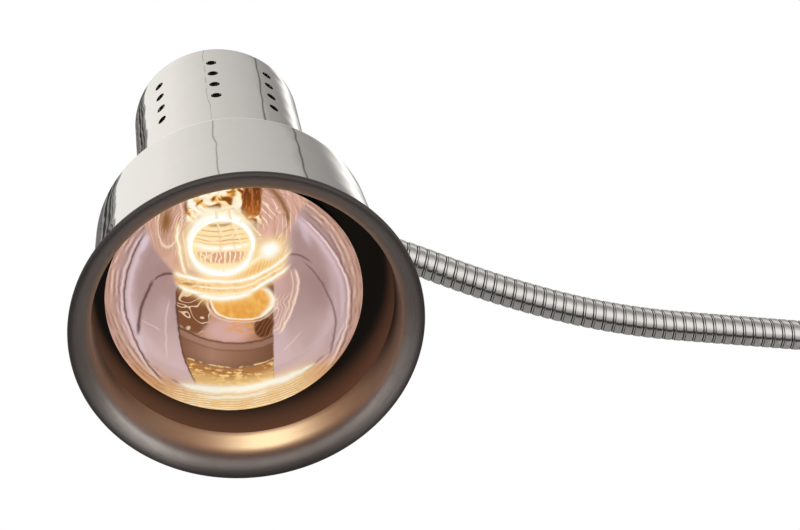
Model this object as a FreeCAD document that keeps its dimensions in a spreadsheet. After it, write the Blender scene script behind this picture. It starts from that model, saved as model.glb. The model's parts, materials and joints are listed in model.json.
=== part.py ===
"""Infrared heat lamp: a vented shade with a reflector bulb on a bendable arm and a weighted base.

Millimetres, +Z up, origin at the centre of the base's underside. The arm leaves the base upwards
and bends over towards -X; the shade opens towards -Y and down. Every size is a cell of the sheet.
"""
import FreeCAD, Part
import math
import os
import re
import Sketcher
from FreeCAD import Placement, Rotation, Vector

# Driving sizes --------------------------------------------------------------------------------
SIZES = {
    # shade
    "rim_radius": 83.0, "skirt_low_radius": 73.6, "skirt_top_radius": 69.8, "skirt_height": 89.8,
    "shade_wall": 1.0, "brim_sweep": 8.6, "bead_radius": 1.8, "shoulder_corner": 1.5,
    "shoulder_hole_radius": 36.0,
    # vent canopy
    "canopy_radius": 47.0, "canopy_height": 146.0, "canopy_corner": 2.5, "vent_radius": 2.9,
    "vent_pitch": 15.0, "vent_top_drop": 21.6, "vent_columns": 9, "vent_rows": 4,
    "vent_turn": 7.2,
    "ring_width": 9.0, "ring_thick": 2.0, "ring_screw_inset": 4.5, "ring_screw_count": 3,
    "ring_screw_turn": 36.0,
    # bulb, measured from the rim plane along the shade's axis
    "bulb_off_x": -2.0, "bulb_off_y": 5.4, "bulb_radius": 62.5, "bulb_hang": 77.8,
    "bulb_face_arc": 100.0, "bulb_edge_arc": 16.0, "glass_wall": 0.9, "bulb_waist_radius": 38.0,
    "bulb_waist_rise": 68.0, "neck_glass_radius": 18.5, "neck_glass_length": 30.0,
    "cap_rise": 150.0, "cap_radius": 13.1, "cap_collar": 3.0, "cap_wall": 0.5,
    "glass_in_cap": 5.0, "thread_pitch": 3.6, "thread_depth": 0.9, "thread_turns": 5,
    "insulator_radius": 8.0, "insulator_height": 4.0, "tip_radius": 4.5, "tip_height": 2.0,
    # filament mount
    "filament_radius": 17.5, "filament_wire": 1.1, "filament_rise": 84.0, "filament_open": 60.0,
    "stem_radius": 4.0, "stem_drop": 8.0, "support_wire": 0.5, "support_count": 5,
    # lamp holder
    "shell_gap": 0.2, "shell_wall": 0.5, "holder_radius": 23.0, "holder_mouth": 8.0,
    "mouth_radius": 20.5, "holder_roof": 12.0, "holder_bevel": 2.0, "contact_radius": 6.0,
    "contact_thick": 0.5, "contact_bore": 9.5, "rivet_radius": 1.5, "rivet_length": 9.0,
    "terminal_radius": 3.5, "terminal_height": 6.0, "terminal_offset": 16.0,
    "holder_screw_offset": 6.0, "holder_screw_depth": 7.0, "strap_width": 20.0,
    "strap_thick": 1.5, "strap_half": 24.0, "strap_foot": 10.0, "strap_screw_inset": 5.0,
    # wiring
    "lead_radius": 1.3, "lead_spread": 3.2, "lead_bend": 6.0, "lead_riser": 29.0,
    "lead_level": 12.5, "tag_length": 18.0, "tag_width": 8.0, "tag_thick": 0.8,
    "tag_height": 10.0,
    # fasteners
    "screw_radius": 2.0, "screw_head_radius": 3.8, "screw_head_height": 2.4, "nut_height": 3.2,
    "nut_radius": 3.9, "slot_width": 0.9, "slot_depth": 1.1, "hole_gap": 0.15, "seat_gap": 0.05,
    # bendable arm
    "neck_radius": 8.25, "neck_bore": 5.0, "cable_radius": 4.7, "joint_gap": 0.4,
    "cable_setback": 9.5, "neck_foot": 66.0, "neck_riser": 60.0, "neck_bend_length": 72.0,
    "neck_bend_turn": 41.5, "neck_reach_length": 70.0, "neck_sag_turn": 4.6,
    "neck_rise_turn": 9.7, "neck_lift_turn": 7.1, "neck_end_length": 50.0, "neck_end_turn": 15.7,
    "neck_end_roll": -132.5, "head_roll": 45.58, "arm_rise": 35.2,
    # arm fittings
    "ferrule_radius": 11.0, "ferrule_length": 20.0, "ferrule_socket": 12.0, "ferrule_chamfer": 1.5,
    "nipple_radius": 6.5, "nipple_inside": 7.0, "washer_radius": 10.0, "washer_thick": 1.2,
    "arm_nut_radius": 9.5, "arm_nut_height": 3.5, "foot_flange_radius": 20.0,
    "foot_flange_height": 3.0, "foot_nipple_end": 34.0,
    # base
    "base_radius": 115.0, "base_height": 46.0, "base_corner": 14.0, "base_wall": 1.2,
    "foot_height": 4.0, "foot_radius": 106.0, "foot_bevel": 1.0, "weight_height": 20.0,
    "weight_gap": 0.5, "notch_width": 34.0, "notch_depth": 26.0, "post_radius": 5.0,
    "post_circle": 84.0, "post_count": 3, "weight_screw_radius": 2.5, "weight_screw_head": 4.6,
    "weight_screw_head_height": 3.5, "weight_screw_length": 30.0, "stiffener_radius": 34.0,
    "stiffener_thick": 3.0, "pocket_margin": 2.0, "pocket_depth": 8.0,
    # switch
    "switch_offset": 74.0, "switch_width": 21.0, "switch_length": 30.0, "switch_flange": 2.2,
    "switch_wall": 1.6, "switch_depth": 18.0, "bezel_height": 1.6, "rocker_gap": 0.3,
    "rocker_tilt": 8.0, "rocker_crown": 7.0, "rocker_drop": 5.0, "pivot_radius": 1.2,
    "pivot_drop": 4.0, "pivot_gap": 0.05, "blade_width": 4.8, "blade_thick": 0.8,
    "blade_length": 7.0, "blade_offset": 5.0,
    # inlet and terminals in the base
    "gland_radius": 8.0, "gland_bore": 3.6, "gland_reach": 12.0, "gland_flange_radius": 10.0,
    "gland_flange": 2.5, "gland_inside": 9.0, "gland_nut_height": 4.0, "gland_nut_radius": 11.0,
    "gland_level": 17.0, "gland_nut_back": 0.7, "block_width": 16.0, "block_height": 12.0,
    "block_offset": 60.0, "block_bore": 1.5, "block_screw_radius": 1.8, "block_screw_height": 1.0, "block_pitch": 8.0,
    "block_ways": 5, "block_wall": 3.0, "lead_floor": 2.0, "lead_plug": 5.0, "fan_start": 18.0,
    "fan_end": 38.0,
}

# Sizes that follow from the driving ones --------------------------------------------------------
DERIVED = {
    "bulb_apex": "skirt_height - bulb_hang",
    "arm_height": "skirt_height + arm_rise",
    "skirt_low_inner": "skirt_low_radius - shade_wall",
    "skirt_top_inner": "skirt_top_radius - shade_wall",
    "brim_end": "skirt_low_inner + brim_sweep",
    "brim_outer_sweep": "brim_sweep - shade_wall",
    "skirt_ceiling": "skirt_height - shade_wall",
    "shoulder_edge": "skirt_top_radius - shoulder_corner",
    "shoulder_start": "skirt_height - shoulder_corner",
    "bead_centre": "rim_radius - bead_radius",
    "canopy_inner": "canopy_radius - shade_wall",
    "canopy_top": "skirt_height + canopy_height",
    "canopy_ceiling": "canopy_top - shade_wall",
    "canopy_corner_edge": "canopy_radius - canopy_corner",
    "canopy_corner_start": "canopy_top - canopy_corner",
    "canopy_corner_inner": "canopy_corner - shade_wall",
    "washer_bow": "canopy_inner - sqrt(canopy_inner ^ 2 - washer_radius ^ 2)",
    "vent_top": "canopy_top - vent_top_drop",
    "ring_outer": "canopy_inner - seat_gap",
    "ring_inner": "ring_outer - ring_width",
    "ring_top": "skirt_height + ring_thick",
    "ring_screw_circle": "ring_inner + ring_screw_inset",
    "face_sine": "(bulb_radius - bulb_edge_arc) / (bulb_face_arc - bulb_edge_arc)",
    "face_cosine": "sqrt(1 - face_sine ^ 2)",
    "face_radius": "bulb_face_arc * face_sine",
    "face_height": "bulb_apex + bulb_face_arc * (1 - face_cosine)",
    "belly_height": "face_height + bulb_edge_arc * face_cosine",
    "waist_height": "bulb_apex + bulb_waist_rise",
    "cone_run": "bulb_radius - bulb_waist_radius",
    "cone_rise": "waist_height - belly_height",
    "cone_arc": "(cone_run ^ 2 + cone_rise ^ 2) / (2 * cone_run)",
    "cone_sine": "cone_rise / cone_arc",
    "cone_cosine": "1 - cone_run / cone_arc",
    "neck_arc": "(bulb_waist_radius - neck_glass_radius) / (1 - cone_cosine)",
    "neck_height": "waist_height + neck_arc * cone_sine",
    "neck_end": "neck_height + neck_glass_length",
    "face_radius_in": "(bulb_face_arc - glass_wall) * face_sine",
    "face_height_in": "bulb_apex + bulb_face_arc - (bulb_face_arc - glass_wall) * face_cosine",
    "waist_radius_in": "bulb_waist_radius - glass_wall * cone_cosine",
    "waist_height_in": "waist_height - glass_wall * cone_sine",
    "bulb_radius_in": "bulb_radius - glass_wall",
    "neck_radius_in": "neck_glass_radius - glass_wall",
    "cap_height": "bulb_apex + cap_rise",
    "cap_inner": "cap_radius - thread_depth - cap_wall",
    "glass_end": "cap_inner - seat_gap",
    "glass_end_in": "glass_end - glass_wall",
    "glass_top": "cap_height + glass_in_cap",
    "thread_start": "cap_height + cap_collar",
    "cap_top": "thread_start + thread_turns * thread_pitch",
    "thread_arc": "(thread_pitch ^ 2 / 4 + thread_depth ^ 2) / (2 * thread_depth)",
    "insulator_top": "cap_top + insulator_height",
    "bulb_top": "insulator_top + tip_height",
    "filament_height": "bulb_apex + filament_rise",
    "shell_inner": "cap_radius + shell_gap",
    "shell_outer": "shell_inner + shell_wall",
    "holder_bore": "shell_outer + thread_depth + seat_gap",
    "mouth_height": "cap_height - holder_mouth",
    "contact_top": "bulb_top + contact_thick",
    "holder_top": "contact_top + holder_roof",
    "strap_top": "holder_top + strap_thick",
    "lead_height": "holder_top + lead_level",
    "neck_hollow": "neck_radius + joint_gap",
    "ferrule_bore": "neck_radius + seat_gap",
    "nipple_bore": "cable_radius + hole_gap",
    "nipple_hole": "nipple_radius + seat_gap",
    "weight_top": "foot_height + weight_height",
    "cover_inner": "base_radius - base_wall",
    "cover_ceiling": "base_height - base_wall",
    "cover_corner_inner": "base_corner - base_wall",
    "cover_edge": "base_radius - base_corner",
    "cover_corner_start": "base_height - base_corner",
    "weight_radius": "cover_inner - weight_gap",
    "stiffener_base": "cover_ceiling - stiffener_thick",
    "arm_start": "base_height + ferrule_length",
    "lead_run": "weight_top + lead_floor",
    "neck_bend_radius": "neck_bend_length * 180 / pi / neck_bend_turn",
    "neck_sag_radius": "neck_reach_length * 180 / pi / neck_sag_turn",
    "neck_rise_radius": "neck_reach_length * 180 / pi / neck_rise_turn",
    "neck_lift_radius": "neck_reach_length * 180 / pi / neck_lift_turn",
    "neck_end_radius": "neck_end_length * 180 / pi / neck_end_turn",
    "switch_base": "base_height - switch_depth",
    "pivot_height": "base_height + bezel_height - pivot_drop",
}

doc = FreeCAD.newDocument("HeatLamp")
sheet = doc.addObject("Spreadsheet::Sheet", "Sizes")
for row, (alias, number) in enumerate(SIZES.items(), start=1):
    sheet.set("A%d" % row, alias)
    sheet.set("B%d" % row, str(number))
    sheet.setAlias("B%d" % row, alias)
for row, (alias, formula) in enumerate(DERIVED.items(), start=1):
    sheet.set("D%d" % row, alias)
    sheet.set("E%d" % row, "=" + formula)
    sheet.setAlias("E%d" % row, alias)
doc.recompute()

X_AXIS = Vector(1, 0, 0)
Y_AXIS = Vector(0, 1, 0)
Z_AXIS = Vector(0, 0, 1)
FULL_TURN = 360.0
HALF_TURN = 180.0
QUARTER_TURN = 90.0
HEX_SIDES = 6
ORIGIN = (-1, 1)
V_AXIS = -2
H_AXIS = -1
CENTRE = 3
worked_out = {}
nodes = []


# Helpers ----------------------------------------------------------------------------------------
def cells(formula):
    """A formula in plain names, written with the sheet's name before each of them."""
    return re.sub(r"\b(?!sqrt)([a-z][a-z_]+)\b", r"Sizes.\1", formula)


def size(formula):
    """The number that a cell, or a formula of cells, gives."""
    if formula in SIZES or formula in DERIVED:
        return float(sheet.get(formula))
    if formula not in worked_out:
        cell = "G%d" % (len(worked_out) + 1)
        sheet.set(cell, "=" + formula)
        sheet.recompute()
        worked_out[formula] = float(sheet.get(cell))
    return worked_out[formula]


def bind(obj, place=None, **formulas):
    """Tie an object's properties to formulas of the sheet."""
    for name, formula in formulas.items():
        obj.setExpression(name, cells(formula))
    if place is not None:
        obj.Placement = place
    return obj


def at(x=0.0, y=0.0, z=0.0, axis=Z_AXIS, angle=0.0):
    """A placement: turned about an axis, then moved."""
    return Placement(Vector(x, y, z), Rotation(axis, angle))


def node(label, obj, place=None):
    """Keep a finished sub-part under its own name, at its place in the lamp."""
    if place is not None:
        obj.Placement = place
    obj.Label = label
    nodes.append(obj)
    return obj


def cylinder(radius, height, place=None):
    obj = doc.addObject("Part::Cylinder", "Cylinder")
    return bind(obj, place, Radius=radius, Height=height)


def ball(radius, place=None):
    obj = doc.addObject("Part::Sphere", "Ball")
    return bind(obj, place, Radius=radius)


def hexagon(radius, height, place=None):
    obj = doc.addObject("Part::Prism", "Hexagon")
    obj.Polygon = HEX_SIDES
    return bind(obj, place, Circumradius=radius, Height=height)


def block(length, width, height, x=0.0, y=0.0, z=0.0):
    """A box centred on x and y that stands on z."""
    obj = doc.addObject("Part::Box", "Block")
    place = at(x - size(length) / 2, y - size(width) / 2, z)
    return bind(obj, place, Length=length, Width=width, Height=height)


def cut(base, *tools):
    obj = doc.addObject("Part::Cut", "Cut")
    obj.Base = base
    obj.Tool = tools[0] if len(tools) == 1 else join(*tools)
    return obj


def join(*parts):
    obj = doc.addObject("Part::MultiFuse", "Join")
    obj.Shapes = list(parts)
    return obj


def common(first, second):
    obj = doc.addObject("Part::Common", "Common")
    obj.Base = first
    obj.Tool = second
    return obj


def group(*parts):
    """Several separate solids in one node."""
    obj = doc.addObject("Part::Compound", "Group")
    obj.Links = list(parts)
    return obj


def origin_plane(body, role):
    return [feature for feature in body.Origin.OriginFeatures if feature.Role == role][0]


def new_sketch(body, role):
    sketch = body.newObject("Sketcher::SketchObject", "Outline")
    sketch.AttachmentSupport = [(origin_plane(body, role), "")]
    sketch.MapMode = "FlatFace"
    return sketch


def arc_between(start, end, radius, side):
    """An arc with its centre left or right of the way from start to end, and its end order."""
    run = end - start
    reach = math.sqrt(max(radius ** 2 - run.Length ** 2 / 4, 0.0))
    left = Vector(-run.y, run.x, 0) / run.Length
    turn = 1 if side == "left" else -1
    centre = (start + end) / 2 + left * reach * turn
    first, last = (start, end) if turn == 1 else (end, start)
    angles = [math.atan2(point.y - centre.y, point.x - centre.x) for point in (first, last)]
    circle = Part.Circle(centre, Z_AXIS, radius)
    return Part.ArcOfCircle(circle, angles[0], angles[1]), (1, 2) if turn == 1 else (2, 1)


def turned(outline):
    """A solid of revolution about Z.

    Each outline point is (radius, height), or (radius, height, arc radius, side) where an arc
    leads to it. None stands for zero.
    """
    body = doc.addObject("PartDesign::Body", "Turned")
    sketch = new_sketch(body, "XZ_Plane")
    points = [Vector(size(r) if r else 0, size(z) if z else 0, 0) for r, z, *_ in outline]
    edges, ends, radii = [], [], []
    for index, (_, _, *arc) in enumerate(outline):
        start, end = points[index - 1], points[index]
        if arc:
            edge, order = arc_between(start, end, size(arc[0]), arc[1])
            radii.append((index, arc[0]))
        else:
            edge, order = Part.LineSegment(start, end), (1, 2)
        edges.append(edge)
        ends.append(order)
    sketch.addGeometry(edges, False)
    rules, formulas = [], []
    for index, (radius, height, *_) in enumerate(outline):
        after = (index + 1) % len(outline)
        here = (index, ends[index][1])
        rules.append(Sketcher.Constraint("Coincident", *here, after, ends[after][0]))
        for name, formula, axis, value in (("DistanceX", radius, V_AXIS, points[index].x),
                                           ("DistanceY", height, H_AXIS, points[index].y)):
            if formula is None:
                rules.append(Sketcher.Constraint("PointOnObject", *here, axis))
            else:
                formulas.append((len(rules), formula))
                rules.append(Sketcher.Constraint(name, *ORIGIN, *here, value))
    for index, formula in radii:
        formulas.append((len(rules), formula))
        rules.append(Sketcher.Constraint("Radius", index, size(formula)))
    sketch.addConstraint(rules)
    for index, formula in formulas:
        sketch.setExpression("Constraints[%d]" % index, cells(formula))
    turn = body.newObject("PartDesign::Revolution", "Turn")
    turn.Profile = sketch
    turn.ReferenceAxis = (sketch, ["V_Axis"])
    turn.Angle = FULL_TURN
    return body


def screw(radius, length, head_radius, head_height, place=None):
    """A slotted screw: its head stands on z = 0 and its shank hangs below."""
    head = cylinder(head_radius, head_height)
    shank = cylinder(radius, length, at(z=-size(length)))
    slot_base = size(head_height) - size("slot_depth")
    slot = block("2 * " + head_radius + " + slot_width", "slot_width", head_height, z=slot_base)
    obj = cut(join(head, shank), slot)
    if place is not None:
        obj.Placement = place
    return obj


def hex_nut(place=None):
    obj = cut(hexagon("nut_radius", "nut_height"),
              cylinder("screw_radius + seat_gap", "nut_height"))
    if place is not None:
        obj.Placement = place
    return obj


def wire(points, radius, bend):
    """A round wire along straight runs that tangent arcs join, as one solid."""
    corners = [Vector(*point) for point in points]
    edges, start = [], corners[0]
    for before, corner, after in zip(corners, corners[1:], corners[2:]):
        into, out = (corner - before).normalize(), (after - corner).normalize()
        trim = bend * math.tan(into.getAngle(out) / 2)
        first, last = corner - into * trim, corner + out * trim
        middle_way = (out - into).normalize()
        bow = bend / math.cos(into.getAngle(out) / 2) - bend
        edges.append(Part.LineSegment(start, first).toShape())
        edges.append(Part.Arc(first, corner + middle_way * bow, last).toShape())
        start = last
    edges.append(Part.LineSegment(start, corners[-1]).toShape())
    path = Part.Wire(edges)
    ring = Part.Wire(Part.Circle(corners[0], corners[1] - corners[0], radius).toShape())
    return path.makePipeShell([ring], True, False)


def leads(*routes):
    """Insulated leads that bend alike, as separate solids."""
    obj = doc.addObject("Part::Feature", "Leads")
    tubes = [wire(route, size("lead_radius"), size("lead_bend")) for route in routes]
    obj.Shape = Part.makeCompound(tubes)
    return obj


# Bendable arm: a chain of short tubes, each with a ball that the next one's hollow rides on ------
SEGMENTS = [
    # name, length, turn, bend radius, roll about the arm before it bends
    ("foot", "neck_foot", None, None, 0.0),
    ("riser", "neck_riser", None, None, 0.0),
    ("lower_bend", "neck_bend_length", "neck_bend_turn", "neck_bend_radius", HALF_TURN),
    ("upper_bend", "neck_bend_length", "neck_bend_turn", "neck_bend_radius", 0.0),
    ("first_reach", "neck_reach_length", "neck_sag_turn", "neck_sag_radius", 0.0),
    ("second_reach", "neck_reach_length", None, None, 0.0),
    ("third_reach", "neck_reach_length", "neck_rise_turn", "neck_rise_radius", HALF_TURN),
    ("fourth_reach", "neck_reach_length", "neck_lift_turn", "neck_lift_radius", 0.0),
    ("end", "neck_end_length", "neck_end_turn", "neck_end_radius", size("neck_end_roll")),
]


def segment_step(length, turn, bend):
    """The placement of a segment's far end in the frame of its near end."""
    if turn is None:
        return at(z=size(length))
    hub = at(x=size(bend))
    return hub.multiply(at(axis=Y_AXIS, angle=size(turn))).multiply(hub.inverse())


def segment_rod(radius, length, turn, bend, before="0", after="0"):
    """A round rod along a segment, made longer before its start and after its end."""
    reach = "(%s) + (%s)" % (before, after)
    if turn is None:
        return cylinder(radius, "%s + %s" % (length, reach), at(z=-size(before)))
    hub = Placement(Vector(size(bend), 0, 0), Rotation(-X_AXIS, Z_AXIS, Y_AXIS, "ZXY"))
    start = size(before) * size(turn) / size(length)
    obj = doc.addObject("Part::Torus", "Rod")
    sweep = "%s * (1 + (%s) / %s)" % (turn, reach, length)
    return bind(obj, hub.multiply(at(angle=-start)), Radius1=bend, Radius2=radius, Angle3=sweep)


def neck_tube(shape, first, last):
    """One tube of the arm. The first and the last one end plain, inside their ferrules."""
    tip = segment_step(*shape)
    before = "ferrule_socket" if first else "0"
    solid = [segment_rod("neck_radius", *shape, before=before)]
    after = "0" if last else "neck_hollow"
    bore = [segment_rod("neck_bore", *shape, before=before, after=after)]
    if last:
        solid.append(cylinder("neck_radius", "ferrule_socket", tip))
        bore.append(cylinder("neck_bore", "ferrule_socket", tip))
    else:
        solid.append(ball("neck_radius", tip))
    if not first:
        bore.append(ball("neck_hollow"))
    return cut(join(*solid), *bore)


def neck_cable(shape, first, last):
    """The length of cable inside one tube; the first and the last one run on into the fittings."""
    before = "arm_start - foot_nipple_end" if first else "-cable_setback"
    rod = segment_rod("cable_radius", *shape, before=before)
    if not last:
        return group(rod)
    plug = "ferrule_length + shade_wall + nipple_inside"
    return join(rod, cylinder("cable_radius", plug, segment_step(*shape)))


arm_frame = at(z=size("arm_start"))
arm_joints = []
for index, (name, *shape, roll) in enumerate(SEGMENTS):
    first, last = index == 0, index == len(SEGMENTS) - 1
    arm_frame = arm_frame.multiply(at(angle=roll))
    if not first:
        sideways = index % 2 == 0
        hinge_axis = arm_frame.Rotation.multVec(X_AXIS if sideways else Y_AXIS)
        arm_joints.append((name, arm_frame.Base, hinge_axis))
    node("neck_" + name, neck_tube(shape, first, last), arm_frame)
    node("cable_" + name, neck_cable(shape, first, last), arm_frame)
    arm_frame = arm_frame.multiply(segment_step(*shape))

# The shade's own frame: its origin is the middle of the rim, Z its axis, X towards the arm ------
outward = arm_frame.Rotation.multVec(-Z_AXIS)
level = Z_AXIS.cross(outward).normalize()
upright = outward.cross(level)
head_roll = math.radians(size("head_roll"))
head_axis = upright * math.cos(head_roll) + level * math.sin(head_roll)
head_turn = Rotation(outward, head_axis.cross(outward), head_axis, "ZXY")
head_base = arm_frame.Base - outward * (size("canopy_radius") + size("ferrule_length"))
HEAD = Placement(head_base - head_axis * size("arm_height"), head_turn)
BULB = HEAD.multiply(at(size("bulb_off_x"), size("bulb_off_y")))
PORT = at(z=size("arm_height"), axis=Y_AXIS, angle=QUARTER_TURN)


def spots(radius, count, turn="0"):
    """Evenly spaced places round the Z axis."""
    number = int(size(count))
    for step in range(number):
        angle = math.radians(size(turn) + FULL_TURN * step / number)
        yield size(radius) * math.cos(angle), size(radius) * math.sin(angle)


# Shade ------------------------------------------------------------------------------------------
def shade_skirt():
    sheet_metal = turned([
        ("brim_end", None),
        ("skirt_low_inner", "brim_sweep", "brim_sweep", "right"),
        ("skirt_top_inner", "shoulder_start"),
        ("shoulder_edge", "skirt_ceiling", "shoulder_corner - shade_wall", "left"),
        ("shoulder_hole_radius", "skirt_ceiling"),
        ("shoulder_hole_radius", "skirt_height"),
        ("shoulder_edge", "skirt_height"),
        ("skirt_top_radius", "shoulder_start", "shoulder_corner", "right"),
        ("skirt_low_radius", "brim_sweep"),
        ("brim_end", "shade_wall", "brim_outer_sweep", "left"),
    ])
    bead = doc.addObject("Part::Torus", "Bead")
    bind(bead, at(z=size("bead_radius")), Radius1="bead_centre", Radius2="bead_radius")
    holes = [cylinder("screw_radius + hole_gap", "skirt_height", at(x, y))
             for x, y in spots("ring_screw_circle", "ring_screw_count", "ring_screw_turn")]
    return cut(join(sheet_metal, bead), *holes)


def vent_canopy():
    body = turned([
        ("canopy_inner", "skirt_height"),
        ("canopy_radius", "skirt_height"),
        ("canopy_radius", "canopy_corner_start"),
        ("canopy_corner_edge", "canopy_top", "canopy_corner", "left"),
        (None, "canopy_top"),
        (None, "canopy_ceiling"),
        ("canopy_corner_edge", "canopy_ceiling"),
        ("canopy_inner", "canopy_corner_start", "canopy_corner_inner", "right"),
    ])
    body.Placement = at(angle=size("vent_turn"))
    sketch = new_sketch(body, "YZ_Plane")
    for row in range(int(size("vent_rows"))):
        height = "vent_top - %d * vent_pitch" % row
        centre = Vector(0, size(height), 0)
        sketch.addGeometry(Part.Circle(centre, Z_AXIS, size("vent_radius")), False)
        rules = [
            Sketcher.Constraint("PointOnObject", row, CENTRE, V_AXIS),
            Sketcher.Constraint("DistanceY", *ORIGIN, row, CENTRE, centre.y),
            Sketcher.Constraint("Radius", row, size("vent_radius")),
        ]
        first = len(sketch.Constraints)
        sketch.addConstraint(rules)
        sketch.setExpression("Constraints[%d]" % (first + 1), cells(height))
        sketch.setExpression("Constraints[%d]" % (first + 2), cells("vent_radius"))
    doc.recompute()
    volume = body.Shape.Volume
    vents = body.newObject("PartDesign::Pocket", "Vents")
    vents.Profile = sketch
    vents.Reversed = True
    bind(vents, Length="canopy_radius + canopy_corner")
    columns = body.newObject("PartDesign::PolarPattern", "Columns")
    columns.Originals = [vents]
    columns.Axis = (origin_plane(body, "Z_Axis"), [""])
    columns.Angle = FULL_TURN
    bind(columns, Occurrences="vent_columns")
    body.Tip = columns
    doc.recompute()
    if body.Shape.Volume >= volume:
        raise RuntimeError("the vents cut nothing")
    arm_hole = cylinder("nipple_hole", "canopy_radius + canopy_corner", PORT)
    screw_holes = [cylinder("screw_radius + hole_gap", "canopy_top + shade_wall",
                            at(size("bulb_off_x"), y)) for y in strap_screw_rows()]
    return cut(body, arm_hole, *screw_holes)


def strap_screw_rows():
    """Where the lamp holder's strap is screwed to the canopy, along the shade's Y."""
    reach = size("strap_half") + size("strap_screw_inset")
    return size("bulb_off_y") - reach, size("bulb_off_y") + reach


def shade_fasteners():
    """The ring inside the canopy's foot, and its screws and nuts."""
    ring = cut(cylinder("ring_outer", "ring_thick"), cylinder("ring_inner", "ring_thick"))
    ring.Placement = at(z=size("skirt_height"))
    places = list(spots("ring_screw_circle", "ring_screw_count", "ring_screw_turn"))
    holes = [cylinder("screw_radius + hole_gap", "canopy_top", at(x, y)) for x, y in places]
    node("canopy_ring", cut(ring, *holes), HEAD)
    length = "shade_wall + ring_thick + nut_height + slot_depth"
    screws = [screw("screw_radius", length, "screw_head_radius", "screw_head_height",
                    at(x, y, size("skirt_ceiling"), X_AXIS, HALF_TURN)) for x, y in places]
    node("shade_screws", group(*screws), HEAD)
    nuts = [hex_nut(at(x, y, size("ring_top"))) for x, y in places]
    node("shade_nuts", group(*nuts), HEAD)


node("shade_skirt", shade_skirt(), HEAD)
node("vent_canopy", vent_canopy(), HEAD)
shade_fasteners()


# Arm fittings -----------------------------------------------------------------------------------
def foot_ferrule():
    """The arm's foot sits in its mouth; its threaded nipple passes through the cover."""
    mouth = "ferrule_length - ferrule_socket"
    nipple_end = "foot_nipple_end - base_height"
    return turned([
        ("nipple_bore", nipple_end),
        ("nipple_radius", nipple_end),
        ("nipple_radius", None),
        ("foot_flange_radius", None),
        ("foot_flange_radius", "foot_flange_height"),
        ("ferrule_radius", "foot_flange_height"),
        ("ferrule_radius", "ferrule_length - ferrule_chamfer"),
        ("ferrule_radius - ferrule_chamfer", "ferrule_length"),
        ("ferrule_bore", "ferrule_length"),
        ("ferrule_bore", mouth),
        ("nipple_bore", mouth),
    ])


def head_fittings():
    """The joint between the arm's end and the canopy's wall, along the port's own Z."""
    inner = size("canopy_inner")
    place = HEAD.multiply(PORT)
    upright_can = cylinder("canopy_radius", "canopy_height")
    upright_can.Placement = PORT.inverse().multiply(at(z=size("skirt_height")))
    sleeve = turned([
        (None, "canopy_inner - nipple_inside"),
        ("ferrule_radius", "canopy_inner - nipple_inside"),
        ("ferrule_radius", "canopy_radius + ferrule_length - ferrule_chamfer"),
        ("ferrule_radius - ferrule_chamfer", "canopy_radius + ferrule_length"),
        ("ferrule_bore", "canopy_radius + ferrule_length"),
        ("ferrule_bore", "canopy_radius + ferrule_length - ferrule_socket"),
        (None, "canopy_radius + ferrule_length - ferrule_socket"),
    ])
    start = at(z=inner - size("nipple_inside"))
    length = "shade_wall + nipple_inside + ferrule_length - ferrule_socket"
    nipple = cylinder("nipple_radius", length, start)
    bore = cylinder("nipple_bore", length, start)
    node("head_ferrule", cut(join(cut(sleeve, upright_can), nipple), bore), place)
    washer_base = inner - size("washer_bow") - size("washer_thick")
    washer = cut(cylinder("washer_radius", "washer_thick + washer_bow", at(z=washer_base)),
                 cylinder("nipple_hole", "canopy_radius"))
    inside = cylinder("canopy_inner - seat_gap", "canopy_height")
    inside.Placement = upright_can.Placement
    node("head_washer", common(washer, inside), place)
    nut = cut(hexagon("arm_nut_radius", "arm_nut_height"),
              cylinder("nipple_hole", "arm_nut_height"))
    node("head_lock_nut", nut, place.multiply(at(z=washer_base - size("arm_nut_height"))))


head_fittings()


# Bulb -------------------------------------------------------------------------------------------
def bulb_glass():
    return turned([
        (None, "bulb_apex"),
        ("face_radius", "face_height", "bulb_face_arc", "left"),
        ("bulb_radius", "belly_height", "bulb_edge_arc", "left"),
        ("bulb_waist_radius", "waist_height", "cone_arc", "left"),
        ("neck_glass_radius", "neck_height", "neck_arc", "right"),
        ("neck_glass_radius", "neck_end"),
        ("glass_end", "cap_height"),
        ("glass_end", "glass_top"),
        ("glass_end_in", "glass_top"),
        ("glass_end_in", "cap_height"),
        ("neck_radius_in", "neck_end"),
        ("neck_radius_in", "neck_height"),
        ("waist_radius_in", "waist_height_in", "neck_arc + glass_wall", "left"),
        ("bulb_radius_in", "belly_height", "cone_arc - glass_wall", "right"),
        ("face_radius_in", "face_height_in", "bulb_edge_arc - glass_wall", "right"),
        (None, "bulb_apex + glass_wall", "bulb_face_arc - glass_wall", "right"),
    ])


def thread_waves(radius, rising):
    """The rounded crests of a rolled lamp thread, from one end of it to the other."""
    waves = []
    for step in range(int(size("thread_turns"))):
        rise = step + 1 if rising else int(size("thread_turns")) - step - 1
        height = "thread_start + %d * thread_pitch" % rise
        waves.append((radius, height, "thread_arc", "left" if rising else "right"))
    return waves


def bulb_cap():
    root = "cap_radius - thread_depth"
    return turned([
        ("cap_inner", "cap_height"),
        ("cap_radius", "cap_height"),
        ("cap_radius", "thread_start"),
        (root, "thread_start"),
        *thread_waves(root, True),
        ("insulator_radius", "cap_top"),
        ("insulator_radius", "cap_top - cap_wall"),
        ("cap_inner", "cap_top - cap_wall"),
    ])


def cap_insulator():
    return turned([
        (None, "cap_top - cap_wall"),
        ("insulator_radius - seat_gap", "cap_top - cap_wall"),
        ("insulator_radius - seat_gap", "cap_top"),
        ("tip_radius", "insulator_top"),
        (None, "insulator_top"),
    ])


def contact_tip():
    return turned([
        (None, "insulator_top"),
        ("tip_radius", "insulator_top"),
        ("tip_radius - tip_height / 2", "bulb_top"),
        (None, "bulb_top"),
    ])


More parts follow.
